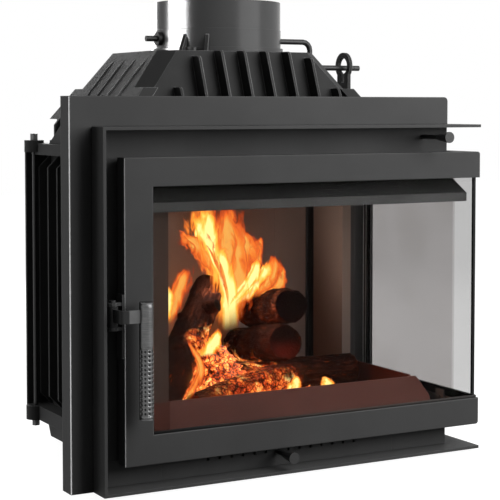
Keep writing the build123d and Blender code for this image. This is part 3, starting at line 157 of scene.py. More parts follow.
def new_group(name, inputs, outputs):
    """Empty node group with named sockets; returns the group and its two ends."""
    group = bpy.data.node_groups.new(name, "ShaderNodeTree")
    for socket_name, kind, value in inputs:
        socket = group.interface.new_socket(socket_name, in_out="INPUT", socket_type=kind)
        socket.default_value = value
    for socket_name, kind in outputs:
        group.interface.new_socket(socket_name, in_out="OUTPUT", socket_type=kind)
    return group, group.nodes.new("NodeGroupInput"), group.nodes.new("NodeGroupOutput")


FLOAT = "NodeSocketFloat"
COLOR = "NodeSocketColor"
VECTOR = "NodeSocketVector"

# Rounded corners that face this way get a painted highlight of bright metal where the finish asks for it
painted_highlight_facing = (-0.7, -0.7, 0.0)
painted_highlight_colour = colour(0.8)


def make_cast_group():
    """Sand-cast painted surface: mottled colour, lighter edges (rubbed wear, and on the hood a painted
    highlight), fine grain and soft corners.

    Where Painted Highlight is above nothing, corners that face forward and left get a painted highlight:
    bright metal in place of the paint.
    """
    group, ins, outs = new_group(
        "cast_surface",
        [
            ("Paint", COLOR, colour(0.06)),
            ("Rubbed And Highlight", COLOR, colour(0.12)),
            ("Grain Scale", FLOAT, 900.0),
            ("Grain Depth", FLOAT, 0.2),
            ("Edge Radius", FLOAT, 0.0008),
            ("Mottle", FLOAT, 0.25),
            ("Rough Low", FLOAT, 0.5),
            ("Rough High", FLOAT, 0.7),
            ("Painted Highlight", FLOAT, 0.0),
        ],
        [("Color", COLOR), ("Roughness", FLOAT), ("Metallic", FLOAT), ("Normal", VECTOR)],
    )
    given = ins.outputs
    place = object_place(group)
    grain = noise(group, place, given["Grain Scale"], 3.0)
    cloud = noise(group, place, 9.0, 4.0, 0.6)
    soft = node(group, "ShaderNodeBevel", {"Radius": given["Edge Radius"]}, samples=6).outputs[0]
    true = node(group, "ShaderNodeNewGeometry").outputs["True Normal"]
    edge = remap(group, vector_math(group, "DOT_PRODUCT", soft, true), 0.995, 0.8)
    # Lighter edges: rubbed wear, and on the hood a painted highlight
    wear_and_highlight_edge = math_node(group, "MULTIPLY", edge, remap(group, cloud, 0.35, 0.65, 0.35, 1.0))
    shade = remap(group, cloud, 0.3, 0.7, -0.5, 0.5)
    shade = math_node(group, "MULTIPLY", shade, given["Mottle"])
    shade = math_node(group, "ADD", shade, 1.0)
    toned = scaled(group, given["Paint"], shade)
    painted_colour = blend_colour(group, wear_and_highlight_edge, toned, given["Rubbed And Highlight"])
    turned = node(
        group,
        "ShaderNodeVectorTransform",
        {0: soft},
        vector_type="NORMAL",
        convert_from="WORLD",
        convert_to="OBJECT",
    )
    facing = vector_math(group, "DOT_PRODUCT", turned.outputs[0], painted_highlight_facing)
    # Painted highlight: corners that face forward and left turn to bright metal
    painted_highlight_mask = math_node(group, "MULTIPLY", remap(group, facing, 0.82, 0.92), given["Painted Highlight"])
    rough = node(
        group,
        "ShaderNodeMapRange",
        {
            "Value": grain,
            "From Min": 0.3,
            "From Max": 0.7,
            "To Min": given["Rough Low"],
            "To Max": given["Rough High"],
        },
    )
    bump = node(
        group,
        "ShaderNodeBump",
        {"Height": grain, "Strength": given["Grain Depth"], "Distance": 0.0004, "Normal": soft},
    )
    for name, socket in (
        ("Color", blend_colour(group, painted_highlight_mask, painted_colour, painted_highlight_colour)),
        ("Metallic", painted_highlight_mask),
        ("Roughness", rough.outputs["Result"]),
        ("Normal", bump.outputs[0]),
    ):
        group.links.new(socket, outs.inputs[name])
    return group


cast_group = make_cast_group()


def new_material(name):
    """Material with one Principled shader."""
    material = bpy.data.materials.new(name)
    material.use_nodes = True
    tree = material.node_tree
    tree.nodes.clear()
    surface = node(tree, "ShaderNodeBsdfPrincipled")
    end = node(tree, "ShaderNodeOutputMaterial")
    tree.links.new(surface.outputs[0], end.inputs[0])
    return material, tree, surface


def set_sockets(tree, surface, values):
    """Constants and links of a shader's sockets."""
    for name, value in values.items():
        if isinstance(value, bpy.types.NodeSocket):
            tree.links.new(value, surface.inputs[name])
        else:
            surface.inputs[name].default_value = value


def relief(tree, height, strength, distance):
    """Normal of a surface that a height lifts."""
    values = {"Height": height, "Strength": strength, "Distance": distance}
    return node(tree, "ShaderNodeBump", values).outputs[0]


def painted(name, paint, rubbed_and_highlight, grain_scale, grain_depth, edge, mottle, rough, gloss, painted_highlight_amount=0.0):
    """Finish that the cast surface group describes."""
    material, tree, surface = new_material(name)
    values = {
        "Paint": colour(paint),
        "Rubbed And Highlight": colour(rubbed_and_highlight),
        "Grain Scale": grain_scale,
        "Grain Depth": grain_depth,
        "Edge Radius": edge,
        "Mottle": mottle,
        "Rough Low": rough[0],
        "Rough High": rough[1],
        "Painted Highlight": painted_highlight_amount,
    }
    made = node(tree, "ShaderNodeGroup", values, node_tree=cast_group).outputs
    sockets = {"Base Color": made["Color"], "Roughness": made["Roughness"], "Normal": made["Normal"]}
    # The painted highlight on forward-left corners reaches the shader as metal
    if painted_highlight_amount:
        sockets["Metallic"] = made["Metallic"]
    set_sockets(tree, surface, {**sockets, "Specular IOR Level": gloss})
    return material


def overpaint(material):
    """Node tree, shader and present colour of a painted material."""
    tree = material.node_tree
    surface = next(item for item in tree.nodes if item.type == "BSDF_PRINCIPLED")
    return tree, surface, surface.inputs["Base Color"].links[0].from_socket


cast_paint = painted("cast_paint", 0.05, 0.13, 1100.0, 0.35, 0.0012, 0.18, (0.5, 0.72), 0.05)
# On the hood the light edge tone (0.3) on a wide edge radius is a painted highlight along the fin edges
# and bases
hood_paint = painted("hood_paint", 0.037, 0.3, 900.0, 0.45, 0.002, 0.25, (0.5, 0.7), 0.03)
sheet_paint = painted("sheet_paint", 0.058, 0.12, 1600.0, 0.2, 0.0007, 0.12, (0.45, 0.6), 0.04)
# Mask and door: the last number sets a painted highlight on their forward-left corners
mask_paint = painted("mask_paint", 0.058, 0.12, 1600.0, 0.2, 0.0026, 0.12, (0.45, 0.6), 0.04, 1.0)
door_paint = painted("door_paint", 0.05, 0.12, 1400.0, 0.22, 0.0022, 0.12, (0.42, 0.58), 0.05, 0.6)
flue_paint = painted("flue_paint", 0.06, 0.066, 1800.0, 0.1, 0.0008, 0.1, (0.16, 0.24), 0.1)
dark_steel = painted("dark_steel", 0.012, 0.06, 1500.0, 0.15, 0.0005, 0.2, (0.34, 0.5), 0.3)
worn_steel = painted("worn_steel", 0.16, 0.4, 1500.0, 0.15, 0.0012, 0.4, (0.3, 0.45), 0.4)
# The guard's red-brown is painted firelight over its dark paint
guard_paint_and_painted_firelight = painted(
    "guard_paint_and_painted_firelight", (0.066, 0.02, 0.014), (0.13, 0.055, 0.04), 1200.0, 0.2, 0.0006, 0.2, (0.4, 0.6), 0.06
)
sooted_iron = painted("sooted_iron", 0.02, 0.04, 700.0, 0.5, 0.001, 0.5, (0.65, 0.85), 0.03)
rubber_seal = painted("rubber_seal", 0.006, 0.012, 1500.0, 0.1, 0.0004, 0.1, (0.5, 0.6), 0.1)
rubber_bead = painted(
    "rubber_bead", (0.03, 0.022, 0.019), 0.03, 1500.0, 0.1, 0.0004, 0.1, (0.5, 0.6), 0.1
)


def make_deflector_paint():
    """Sheet paint on the deflector's lip; above the bend, painted shade that grows darker upwards, where
    the door's top rail shades the sloping face.
    """
    material = painted("deflector_paint", 0.058, 0.1, 1400.0, 0.2, 0.0006, 0.2, (0.5, 0.65), 0.02)
    tree, surface, clean = overpaint(material)
    place = object_place(tree)
    height = part_of(tree, place, "Z")
    cloud = noise(tree, place, 60.0, 4.0)
    ragged = math_node(tree, "ADD", height, remap(tree, cloud, 0.3, 0.7, -0.004, 0.004))
    # Painted shade above the bend, darker further up, where the door's top rail shades the face
    soot = remap(tree, height, deflector_bend - 0.0002, deflector_bend + 0.0004)
    painted_shade_depth = remap(tree, ragged, deflector_bend, deflector_bend + 0.03, 0.014, 0.005)
    black = node(tree, "ShaderNodeCombineXYZ", {0: painted_shade_depth, 1: painted_shade_depth, 2: painted_shade_depth}).outputs[0]
    set_sockets(tree, surface, {"Base Color": blend_colour(tree, soot, clean, black)})
    return material


def make_arm_paint():
    """Handle arm: worn grey steel along the arm, black about the hub."""
    material = painted("arm_paint", 0.02, 0.06, 1500.0, 0.15, 0.0006, 0.15, (0.4, 0.55), 0.1)
    tree, surface, black = overpaint(material)
    place = object_place(tree)
    steel = blend_colour(tree, noise(tree, place, 90.0, 4.0), colour(0.1), colour(0.17))
    arm = remap(tree, part_of(tree, place, "X"), arm_start - 0.001, arm_start + 0.001)
    set_sockets(tree, surface, {"Base Color": blend_colour(tree, arm, black, steel)})
    return material


def make_brushed_steel():
    """Brushed steel: long fine streaks round the tube, darker in patches."""
    material, tree, surface = new_material("brushed_handle")
    place = object_place(tree)
    streak = noise(tree, stretched(tree, place, (60.0, 60.0, 2600.0)), 1.0, 4.0)
    patch = remap(tree, noise(tree, place, 40.0, 3.0), 0.4, 0.75, 0.0, 0.5)
    shade = blend_colour(tree, remap(tree, streak, 0.3, 0.7), colour(0.06), colour(0.16))
    sockets = {
        "Base Color": blend_colour(tree, patch, shade, colour(0.05)),
        "Roughness": remap(tree, streak, 0.2, 0.8, 0.26, 0.42),
        "Normal": relief(tree, streak, 0.15, 0.0002),
        "Metallic": 1.0,
    }
    set_sockets(tree, surface, sockets)
    return material


def make_pane(name, clear, hazy, strip=None):
    """Heat-proof glass: a smoky tint from clear to hazy, and a lighter strip by the corner."""
    material, tree, surface = new_material(name)
    place = object_place(tree)
    haze = noise(tree, place, 9.0, 4.0)
    tint = blend_colour(tree, remap(tree, haze, 0.35, 0.7), colour(clear), colour(hazy))
    if strip:
        depth = part_of(tree, place, "Y")
        by_corner = remap(tree, depth, clear_strip_end + 0.001, clear_strip_end - 0.001)
        tint = blend_colour(tree, by_corner, tint, colour(strip))
    sockets = {
        "Base Color": tint,
        "Roughness": remap(tree, haze, 0.3, 0.8, 0.0, 0.01),
        "Transmission Weight": 1.0,
        "IOR": 1.07,
    }
    set_sockets(tree, surface, sockets)
    return material


def make_rope():
    """Braided glass-fibre rope: two crossing sets of strands."""
    material, tree, surface = new_material("seal_rope")
    place = object_place(tree)
    strands = []
    for angle in (0.8, -0.8):
        values = {"Vector": place, "Rotation": (angle, angle, 0.0), "Scale": (420.0, 420.0, 420.0)}
        turned = node(tree, "ShaderNodeMapping", values).outputs[0]
        values = {"Vector": turned, "Scale": 0.35, "Distortion": 0.6}
        strands.append(node(tree, "ShaderNodeTexWave", values, bands_direction="Z").outputs["Fac"])
    braid = math_node(tree, "MAXIMUM", strands[0], strands[1])
    sockets = {
        "Base Color": blend_colour(tree, braid, colour(0.1), colour((0.34, 0.33, 0.3))),
        "Normal": relief(tree, braid, 0.6, 0.001),
        "Roughness": 0.9,
    }
    set_sockets(tree, surface, sockets)
    return material


def make_firebrick(name, lower, upper, sooted):
    """Sooted refractory board: clouded warm grey below, sooted above, pitted."""
    material, tree, surface = new_material(name)
    place = object_place(tree)
    height = part_of(tree, place, "Z")
    cloud = noise(tree, place, 11.0, 6.0, 0.65)
    pits = noise(tree, place, 420.0, 3.0)
    clean = blend_colour(tree, cloud, colour(lower), colour(upper))
    lift = math_node(tree, "ADD", height, remap(tree, cloud, 0.2, 0.8, -0.06, 0.06))
    soot = remap(tree, lift, 0.24, 0.42, 0.0, 0.6)
    sockets = {
        "Base Color": blend_colour(tree, soot, clean, colour(sooted)),
        "Normal": relief(tree, pits, 0.35, 0.0008),
        "Roughness": 0.88,
        "Specular IOR Level": 0.02,
    }
    set_sockets(tree, surface, sockets)
    return material


def ember_heat(tree, place):
    """Emission colour of glowing charcoal: black crust, then red, orange and yellow heat."""
    big = noise(tree, place, 55.0, 5.0, 0.6)
    small = noise(tree, place, 230.0, 4.0, 0.7)
    values = {"Vector": place, "Scale": 130.0}
    chunks = node(tree, "ShaderNodeTexVoronoi", values, feature="DISTANCE_TO_EDGE")
    heat = math_node(tree, "MULTIPLY", big, 0.8)
    heat = math_node(tree, "ADD", heat, math_node(tree, "MULTIPLY", small, 0.4))
    gap = remap(tree, chunks.outputs["Distance"], 0.12, 0.0, 0.0, 0.14)
    heat = math_node(tree, "SUBTRACT", heat, gap)
    ramp = node(tree, "ShaderNodeValToRGB", {"Fac": heat})
    fill_ramp(
        ramp,
        (
            (0.46, (0.01, 0.001, 0.0)),
            (0.53, (0.3, 0.022, 0.004)),
            (0.6, (0.85, 0.13, 0.02)),
            (0.67, (1.0, 0.36, 0.06)),
            (0.76, (1.0, 0.8, 0.3)),
        ),
    )
    return ramp.outputs["Color"], small


def make_bark():
    """Charred wood: near-black fibres with brown ridges, glowing low down and about the hot spot.

    Red seams glow in the deepest fibres of the lower logs, and the low cut
    ends glow dully.
    """
    material, tree, surface = new_material("charred_log")
    run = node(tree, "ShaderNodeUVMap", uv_map="along").outputs[0]
    place = object_place(tree)
    height = part_of(tree, place, "Z")
    across = part_of(tree, place, "X")
    fibre = noise(tree, stretched(tree, run, (5.0, 42.0, 1.0)), 1.0, 6.0, 0.7)
    cloud = noise(tree, place, 30.0, 5.0, 0.65)
    grit = noise(tree, place, 420.0, 3.0, 0.6)

    ridge = remap(tree, fibre, 0.42, 0.7)
    brown = math_node(tree, "MULTIPLY", ridge, remap(tree, cloud, 0.35, 0.65))
    wood = blend_colour(tree, brown, colour((0.006, 0.0016, 0.001)), colour((0.085, 0.022, 0.009)))
    cut_end = remap(tree, part_of(tree, run, "X"), -0.02, -0.06)
    wood = blend_colour(tree, cut_end, wood, colour((0.002, 0.0006, 0.0005)))

    ragged = math_node(tree, "ADD", height, remap(tree, cloud, 0.3, 0.7, -0.016, 0.016))
    low = remap(tree, ragged, low_glow_top, low_glow_top - 0.022)
    low = math_node(tree, "MULTIPLY", low, remap(tree, across, -0.1, -0.02))
    low = math_node(tree, "MULTIPLY", low, remap(tree, across, 0.1, 0.08))
    spot = vector_math(tree, "DISTANCE", place, hot_spot)
    spot = math_node(tree, "ADD", spot, remap(tree, cloud, 0.3, 0.7, 0.02, -0.02))
    near = remap(tree, spot, hot_reach, hot_reach * 0.45)
    side_only = math_node(tree, "SUBTRACT", 1.0, cut_end)
    hot = math_node(tree, "MULTIPLY", math_node(tree, "MAXIMUM", low, near), side_only)
    glow, _ = ember_heat(tree, place)
    embers = scaled(tree, glow, math_node(tree, "MULTIPLY", hot, 1.2))

    crack = remap(tree, fibre, 0.4, 0.28, 0.0, 0.7)
    crack = math_node(tree, "MULTIPLY", crack, remap(tree, height, 0.22, 0.08))
    seams = scaled(tree, (1.0, 0.16, 0.03), crack)
    dull = math_node(tree, "MULTIPLY", cut_end, remap(tree, height, 0.16, 0.13))
    dull = math_node(tree, "MULTIPLY", dull, remap(tree, cloud, 0.35, 0.65, 0.3, 1.0))
    ends = scaled(tree, (0.07, 0.004, 0.001), dull)
    total = vector_math(tree, "ADD", vector_math(tree, "ADD", embers, seams), ends)

    depth = math_node(tree, "ADD", fibre, math_node(tree, "MULTIPLY", grit, 0.3))
    sockets = {
        "Base Color": wood,
        "Emission Color": total,
        "Emission Strength": 1.0,
        "Normal": relief(tree, depth, 0.7, 0.003),
        "Roughness": 0.8,
        "Specular IOR Level": 0.02,
    }
    set_sockets(tree, surface, sockets)
    return material


def make_ember():
    """Glowing charcoal: grey and black crust over red to yellow heat."""
    material, tree, surface = new_material("glowing_coal")
    glow, grain = ember_heat(tree, object_place(tree))
    sockets = {
        "Base Color": blend_colour(tree, grain, colour((0.01, 0.006, 0.005)), colour((0.09, 0.06, 0.05))),
        "Emission Color": glow,
        "Emission Strength": 1.5,
        "Normal": relief(tree, grain, 0.7, 0.002),
        "Roughness": 0.9,
        "Specular IOR Level": 0.1,
    }
    set_sockets(tree, surface, sockets)
    return material


def make_flame(name, glow, stops):
    """Flame: full along its middle, frayed by rising noise at its edges, root and tip."""
    material, tree, surface = new_material(name)
    run = node(tree, "ShaderNodeUVMap", uv_map="across").outputs[0]
    across, rise = part_of(tree, run, "X"), part_of(tree, run, "Y")
    tall = stretched(tree, object_place(tree), (62.0, 62.0, 15.0))
    lick = noise(tree, tall, 1.0, 4.0, 0.55, 0.9)
    offset = math_node(tree, "ABSOLUTE", math_node(tree, "SUBTRACT", across, 0.5), 0.0)
    body = math_node(tree, "MULTIPLY", remap(tree, offset, 0.5, 0.05), remap(tree, rise, 1.0, 0.72))
    mask = math_node(tree, "ADD", body, remap(tree, lick, 0.3, 0.7, -0.4, 0.3), clamp=True)
    root = remap(tree, rise, 0.0, 0.22)
    ramp = node(tree, "ShaderNodeValToRGB", {"Fac": mask})
    fill_ramp(ramp, stops)
    sockets = {
        "Emission Color": ramp.outputs["Color"],
        "Alpha": math_node(tree, "MULTIPLY", remap(tree, mask, 0.06, 0.5, 0.0, 0.94), root),
        "Emission Strength": glow,
        "Base Color": colour(0.0),
        "Specular IOR Level": 0.0,
        "Roughness": 1.0,
    }
    set_sockets(tree, surface, sockets)
    return material


deflector_paint = make_deflector_paint()
arm_paint = make_arm_paint()
brushed_handle = make_brushed_steel()
front_pane_glass = make_pane("front_pane_glass", (0.97, 0.965, 0.96), (0.94, 0.935, 0.93))
side_pane_glass = make_pane("side_pane_glass", (0.305, 0.293, 0.291), (0.275, 0.262, 0.258), 0.5)
seal_rope = make_rope()
firebrick = make_firebrick("firebrick", (0.185, 0.14, 0.118), (0.24, 0.19, 0.165), (0.1, 0.083, 0.075))
# The left liner is a darker, browner copy of the firebrick: painted shade with a tint of painted firelight
painted_shade_brick = make_firebrick("painted_shade_brick", (0.05, 0.03, 0.023), (0.07, 0.045, 0.036), (0.05, 0.036, 0.03))
charred_log = make_bark()
glowing_coal = make_ember()
bright_flame = make_flame(
    "bright_flame",
    1.35,
    (
        (0.1, (0.7, 0.07, 0.01)),
        (0.32, (1.0, 0.24, 0.025)),
        (0.6, (1.0, 0.52, 0.07)),
        (0.85, (1.0, 0.86, 0.3)),
    ),
)
orange_flame = make_flame(
    "orange_flame",
    1.0,
    (
        (0.1, (0.5, 0.04, 0.01)),
        (0.4, (0.85, 0.12, 0.02)),
        (0.7, (1.0, 0.25, 0.035)),
        (0.95, (1.0, 0.45, 0.09)),
    ),
)


# Finishes of the CAD nodes

finish_of_node = {
    mask_paint: "mask_plate",
    sheet_paint: "trim_collar sill_end_panels sill_panel_centre mask_brackets "
    "plinth rod_guides air_valve_plate latch_bracket latch_keeper glass_clips",
    arm_paint: "handle_lever",
    door_paint: "door_frame door_hinge_lugs",
    cast_paint: "front_casting side_casting base_casting crown_casting left_panel "
    "rear_panel hinge_brackets",
    hood_paint: "hood flue_lugs lever_plate",
    flue_paint: "flue_collar",
    worn_steel: "tie_rod_nuts",
    dark_steel: "tie_rods hood_bolts shaft_bushes damper_shaft damper_flap pull_rod "
    "air_rod damper_knob air_knob hinge_pins handle_pin clip_screws",
    brushed_handle: "handle_tube handle_caps",
    front_pane_glass: "front_glass",
    side_pane_glass: "side_glass",
    rubber_seal: "corner_seal",
    seal_rope: "door_rope",
    firebrick: "rear_liners right_liner smoke_baffle",
    painted_shade_brick: "left_liner",
    guard_paint_and_painted_firelight: "log_guards",
    deflector_paint: "air_wash_deflector",
    sooted_iron: "hearth_plate grate ash_pan baffle_rails",
    charred_log: "log_front log_back log_middle log_top log_lean",
    glowing_coal: "ember_bed",
}
for finish, names in finish_of_node.items():
    for name in names.split():
        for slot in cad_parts[name].material_slots:
            slot.material = finish


# Meshes from numpy grids

def grid_quads(rows, columns):
    """Faces that join each four neighbouring points of a grid."""
    index = np.arange(rows * columns).reshape(rows, columns)
    corners = [index[:-1, :-1], index[:-1, 1:], index[1:, 1:], index[1:, :-1]]
    return np.stack(corners, axis=-1).reshape(-1, 4)


def close_mesh(mesh, distance=1e-6):
    """Merges a mesh's doubles and turns its faces outwards."""
    work = bmesh.new()
    work.from_mesh(mesh)
    bmesh.ops.remove_doubles(work, verts=work.verts, dist=distance)
    bmesh.ops.recalc_face_normals(work, faces=work.faces)
    work.to_mesh(mesh)
    work.free()


def add_piece(name, mesh, finish, body="insert"):
    """Object for a mesh, with its finish and the body it rides on."""
    piece = bpy.data.objects.new(name, mesh)
    bpy.context.scene.collection.objects.link(piece)
    piece.data.materials.append(finish)
    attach(piece, body)
    return piece


def add_wall(piece, thickness):
    """Gives a sheet its wall, inwards from its faces."""
    wall = piece.modifiers.new("wall", "SOLIDIFY")
    wall.thickness = thickness
    wall.offset = -1


def grid_piece(name, points, finish, uv_name=None, uv=None, body="insert", around=False):
    """Mesh over a grid of points, row by row.

    Where the grid runs around, its last column is the first one again, and
    doubles are merged there and at the poles.
    """
    quads = grid_quads(*points.shape[:2])
    mesh = bpy.data.meshes.new(name)
    mesh.from_pydata(points.reshape(-1, 3).tolist(), [], quads.tolist())
    if uv_name:
        layer = mesh.uv_layers.new(name=uv_name)
        layer.data.foreach_set("uv", uv.reshape(-1, 2)[quads.reshape(-1)].astype(np.float32).ravel())
    if around:
        close_mesh(mesh)
    mesh.polygons.foreach_set("use_smooth", [True] * len(mesh.polygons))
    return add_piece(name, mesh, finish, body)


def waves(first, second, seed, count=9, power=1.0):
    """Smooth noise between -1 and 1: a sum of sines of random pitch, way and phase."""
    dice = np.random.default_rng(seed)
    total = np.zeros(np.broadcast(first, second).shape)
    weight_sum = 0.0
    for step in range(count):
        pitch = 1.0 + step * power
        weight = 1.0 / pitch**0.9
        along = first * pitch * dice.uniform(0.6, 1.4)
        about = second * round(pitch * dice.uniform(0.3, 1.3))
        total = total + weight * np.sin(along + about + dice.uniform(0, 6.28))
        weight_sum += weight
    return total / weight_sum * 2


# Logs

def axis_frame(near, far):
    """Unit vectors along an axis and square to it."""
    along = (far - near) / np.linalg.norm(far - near)
    side = np.cross(along, (0.0, 0.0, 1.0))
    side /= np.linalg.norm(side)
    return along, side, np.cross(side, along)


def log_piece(name, near, far, radius, seed):
    """Charred log round an axis.

    The radius is the log's own times one plus bark noise, smaller towards the
    ends; across each end it shrinks to nothing with a slightly dished face.
    """
    near, far = np.array(near), np.array(far)
    length = np.linalg.norm(far - near)
    along, side, up = axis_frame(near, far)
    cap = np.array([0.0, 0.35, 0.7, 0.93, 1.0])
    body = np.linspace(0, 1, 88)
    share = np.concatenate([cap, np.ones(body.size), cap[::-1]])
    run = np.concatenate([np.full(cap.size, 0.0), body, np.full(cap.size, 1.0)])
    turn = np.linspace(0, 2 * np.pi, 73)
    bark = waves(run[:, None] * 6, turn[None, :], seed) * 0.05
    drift = 2.2 * waves(run[:, None] * 9, turn[None, :], seed + 1)
    plates = np.abs(np.sin(turn[None, :] * 7 + drift)) * 0.07
    nicks = np.clip(waves(run[:, None] * 40, turn[None, :] * 3, seed + 2, 12), -1, 0) * 0.05
    knob = 0.04 * np.cos(np.pi * (2 * run[:, None] - 1))
    size = radius * (0.95 + bark - plates * 0.6 + nicks + knob) * share[:, None]
    dish = (1 - share) * radius * 0.06 * np.where(run < 0.5, 1, -1)
    reach = run * length + dish
    bend = np.sin(run * np.pi) * radius * 0.06
    middle = near + along * reach[:, None] + up * bend[:, None]
    points = middle[:, None] + size[..., None] * (
        np.cos(turn)[None, :, None] * side + np.sin(turn)[None, :, None] * up
    )
    lengthwise = np.where(share < 1, share - 1, run * length * 10)
    uv = np.stack(np.broadcast_arrays(lengthwise[:, None], turn[None, :] / 6.2832), axis=-1)
    piece = grid_piece(name, points, charred_log, "along", uv, around=True)
    return piece


def end_points(name):
    """Middles of a log's two ends, read from its CAD mesh, with its radius.

    The mesh's points lie on the two end circles, so the longest axis of the
    cloud parts them, and each part's mean is an end's middle.
    """
    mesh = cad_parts[name].data
    points = np.empty(len(mesh.vertices) * 3)
    mesh.vertices.foreach_get("co", points)
    points = points.reshape(-1, 3)
    middle = (points.max(axis=0) + points.min(axis=0)) / 2
    _, _, axes = np.linalg.svd(points - middle, full_matrices=False)
    way = axes[0]
    reach = (points - middle) @ way
    ends = [middle + way * reach.min(), middle + way * reach.max()]
    off = points - middle - reach[:, None] * way
    return ends[0], ends[1], np.linalg.norm(off, axis=1).max()


middle_log_growth = 1.22
middle_log_reach = 0.022
branch_root = (-0.055, face_y + 0.195, 0.183)
branch_tip = (-0.0195, face_y + 0.15, 0.206)
branch_radius = 0.0105
for seed, log_name in enumerate(("log_front", "log_back", "log_middle", "log_top", "log_lean")):
    start, stop, size = end_points(log_name)
    if log_name == "log_middle":
        rear, front = (start, stop) if start[1] > stop[1] else (stop, start)
        start = rear + middle_log_reach * (rear - front) / np.linalg.norm(rear - front)
        stop, size = front, size * middle_log_growth
    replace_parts(log_piece(f"{log_name}_wood", start, stop, size, seed * 10 + 3), log_name)
log_piece("log_lean_branch", branch_root, branch_tip, branch_radius, 77)


# Embers: a heap with coals strewn over it

ember_low, ember_high = (np.array(corner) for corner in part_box("ember_bed"))
ember_middle = (ember_low + ember_high) / 2
ember_size = ember_high - ember_low
mound_spread = (0.03, 0.028)
mound_rise = 0.074
mound_reach = (0.09, 0.085, 0)


def heap_height(x, y):
    """Height of the heap: full in the middle, nothing at its rim, with lumps."""
    u = np.clip(np.abs(x - ember_middle[0]) / (ember_size[0] / 2), 0, 1)
    v = np.clip(np.abs(y - ember_middle[1]) / (ember_size[1] / 2), 0, 1)
    rim = (1 - u**4) * (1 - v**4)
    return rim * ember_size[2] * (0.7 + 0.16 * waves(x * 60, y * 60, 5))


def mound_height(x, y):
    """Height of the burnt-down logs' mound: a bell over the hot spot, with lumps."""
    u = (x - hot_spot[0]) / mound_spread[0]
    v = (y - hot_spot[1]) / mound_spread[1]
    bell = np.exp(-(u**2 + v**2) / 2)
    return heap_height(x, y) + bell * mound_rise * (1 + 0.12 * waves(x * 120, y * 120, 8))


def heap_piece(name, height, low, high):
    """Heap of embers on a grid between two corners, its height by one of the rules above."""
    columns, rows = np.linspace(low[0], high[0], 90), np.linspace(low[1], high[1], 70)
    gx, gy = np.meshgrid(columns, rows, indexing="ij")
    points = np.stack([gx, gy, hearth_z + 0.0004 + height(gx, gy)], axis=-1)
    piece = grid_piece(name, points, glowing_coal)
    return piece


def coal_piece(name, count, sizes, height, low, high, seed):
    """Many lumps in one mesh, each a rough ball of eight by five points.

    A lump's radius varies with its own random waves, and it lies half sunk
    in the heap.
    """
    dice = np.random.default_rng(seed)
    across = np.linspace(0, 2 * np.pi, 9)
    down = np.linspace(0, np.pi, 6)
    ball = np.stack(
        [
            np.sin(down)[:, None] * np.cos(across)[None, :],
            np.sin(down)[:, None] * np.sin(across)[None, :],
            np.broadcast_to(np.cos(down)[:, None], (6, 9)),
        ],
        axis=-1,
    )
    points, faces = [], []
    index = np.arange(54).reshape(6, 9)
    corners = [index[:-1, :-1], index[1:, :-1], index[1:, 1:], index[:-1, 1:]]
    quads = np.stack(corners, axis=-1).reshape(-1, 4)
    for lump in range(count):
        size = dice.uniform(*sizes)
        stretch = dice.uniform(0.6, 1.3, 3) * size
        rough = 1 + 0.3 * dice.uniform(-1, 1, (6, 9, 1))
        rough[:, -1] = rough[:, 0]
        rough[0], rough[-1] = 1, 1
        x = dice.uniform(low[0] + size, high[0] - size)
        y = dice.uniform(low[1] + size, high[1] - size)
        z = hearth_z + height(np.array(x), np.array(y)) + size * 0.3
        turned = ball * stretch * rough
        angle = dice.uniform(0, 6.28)
        spun = np.stack(
            [
                turned[..., 0] * np.cos(angle) - turned[..., 1] * np.sin(angle),
                turned[..., 0] * np.sin(angle) + turned[..., 1] * np.cos(angle),
                turned[..., 2],
            ],
            axis=-1,
        )
        points.append((spun + (x, y, z)).reshape(-1, 3))
        faces.append(quads + lump * 54)
    mesh = bpy.data.meshes.new(name)
    mesh.from_pydata(np.concatenate(points).tolist(), [], np.concatenate(faces).tolist())
    close_mesh(mesh)
    piece = add_piece(name, mesh, glowing_coal)
    return piece


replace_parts(heap_piece("ember_heap", heap_height, ember_low, ember_high), "ember_bed")
coal_piece("coals", 900, (0.003, 0.009), heap_height, ember_low, ember_high, 11)
mound_low = np.array(hot_spot) - mound_reach
mound_high = np.array(hot_spot) + mound_reach
heap_piece("ember_mound", mound_height, mound_low, mound_high)
coal_piece("mound_coals", 330, (0.005, 0.011), mound_height, mound_low, mound_high, 12)


# Flames

def smooth_path(places, count):
    """Points along a smooth line through given places.

    Each coordinate is a cubic Hermite curve whose slope at a place is the
    mean of the runs beside it.
    """
    places = np.asarray(places, float)
    slopes = np.gradient(places, axis=0)
    share = np.linspace(0, len(places) - 1, count)
    low = np.clip(share.astype(int), 0, len(places) - 2)
    t = (share - low)[:, None]
    return (
        (2 * t**3 - 3 * t**2 + 1) * places[low]
        + (t**3 - 2 * t**2 + t) * slopes[low]
        + (3 * t**2 - 2 * t**3) * places[low + 1]
        + (t**3 - t**2) * slopes[low + 1]
    )


def flame_piece(name, depth, places, finish, seed, turn):
    """One tongue of flame: a cupped sheet carried along a bending line.

    The line runs through places of (x, z, half width) at one depth. The sheet
    is as wide as its half width says, cupped by the square of the distance
    from its middle, and it flutters by smooth noise that grows with height.
    """
    line = smooth_path(places, 56)
    rise = np.linspace(0, 1, 56)[:, None]
    across = np.linspace(-1, 1, 15)[None, :]
    facing = np.array([math.cos(turn), math.sin(turn), 0.0])
    square = np.array([-math.sin(turn), math.cos(turn), 0.0])
    middle = np.stack([line[:, 0], np.full(56, face_y + depth), line[:, 1]], axis=-1)
    half = flame_spread * np.maximum(line[:, 2], 0.0006)[:, None]
    ragged = 1 + 0.16 * waves(rise * 9, across, seed) * rise
    cup = half * (0.35 * across**2 + 0.25 * waves(rise * 4, across * 2, seed + 1) * rise)
    points = middle[:, None] + facing * (half * ragged * across)[..., None] + square * cup[..., None]
    uv = np.stack(np.broadcast_arrays(across / 2 + 0.5, rise), axis=-1)
    piece = grid_piece(name, points, finish, "across", uv)


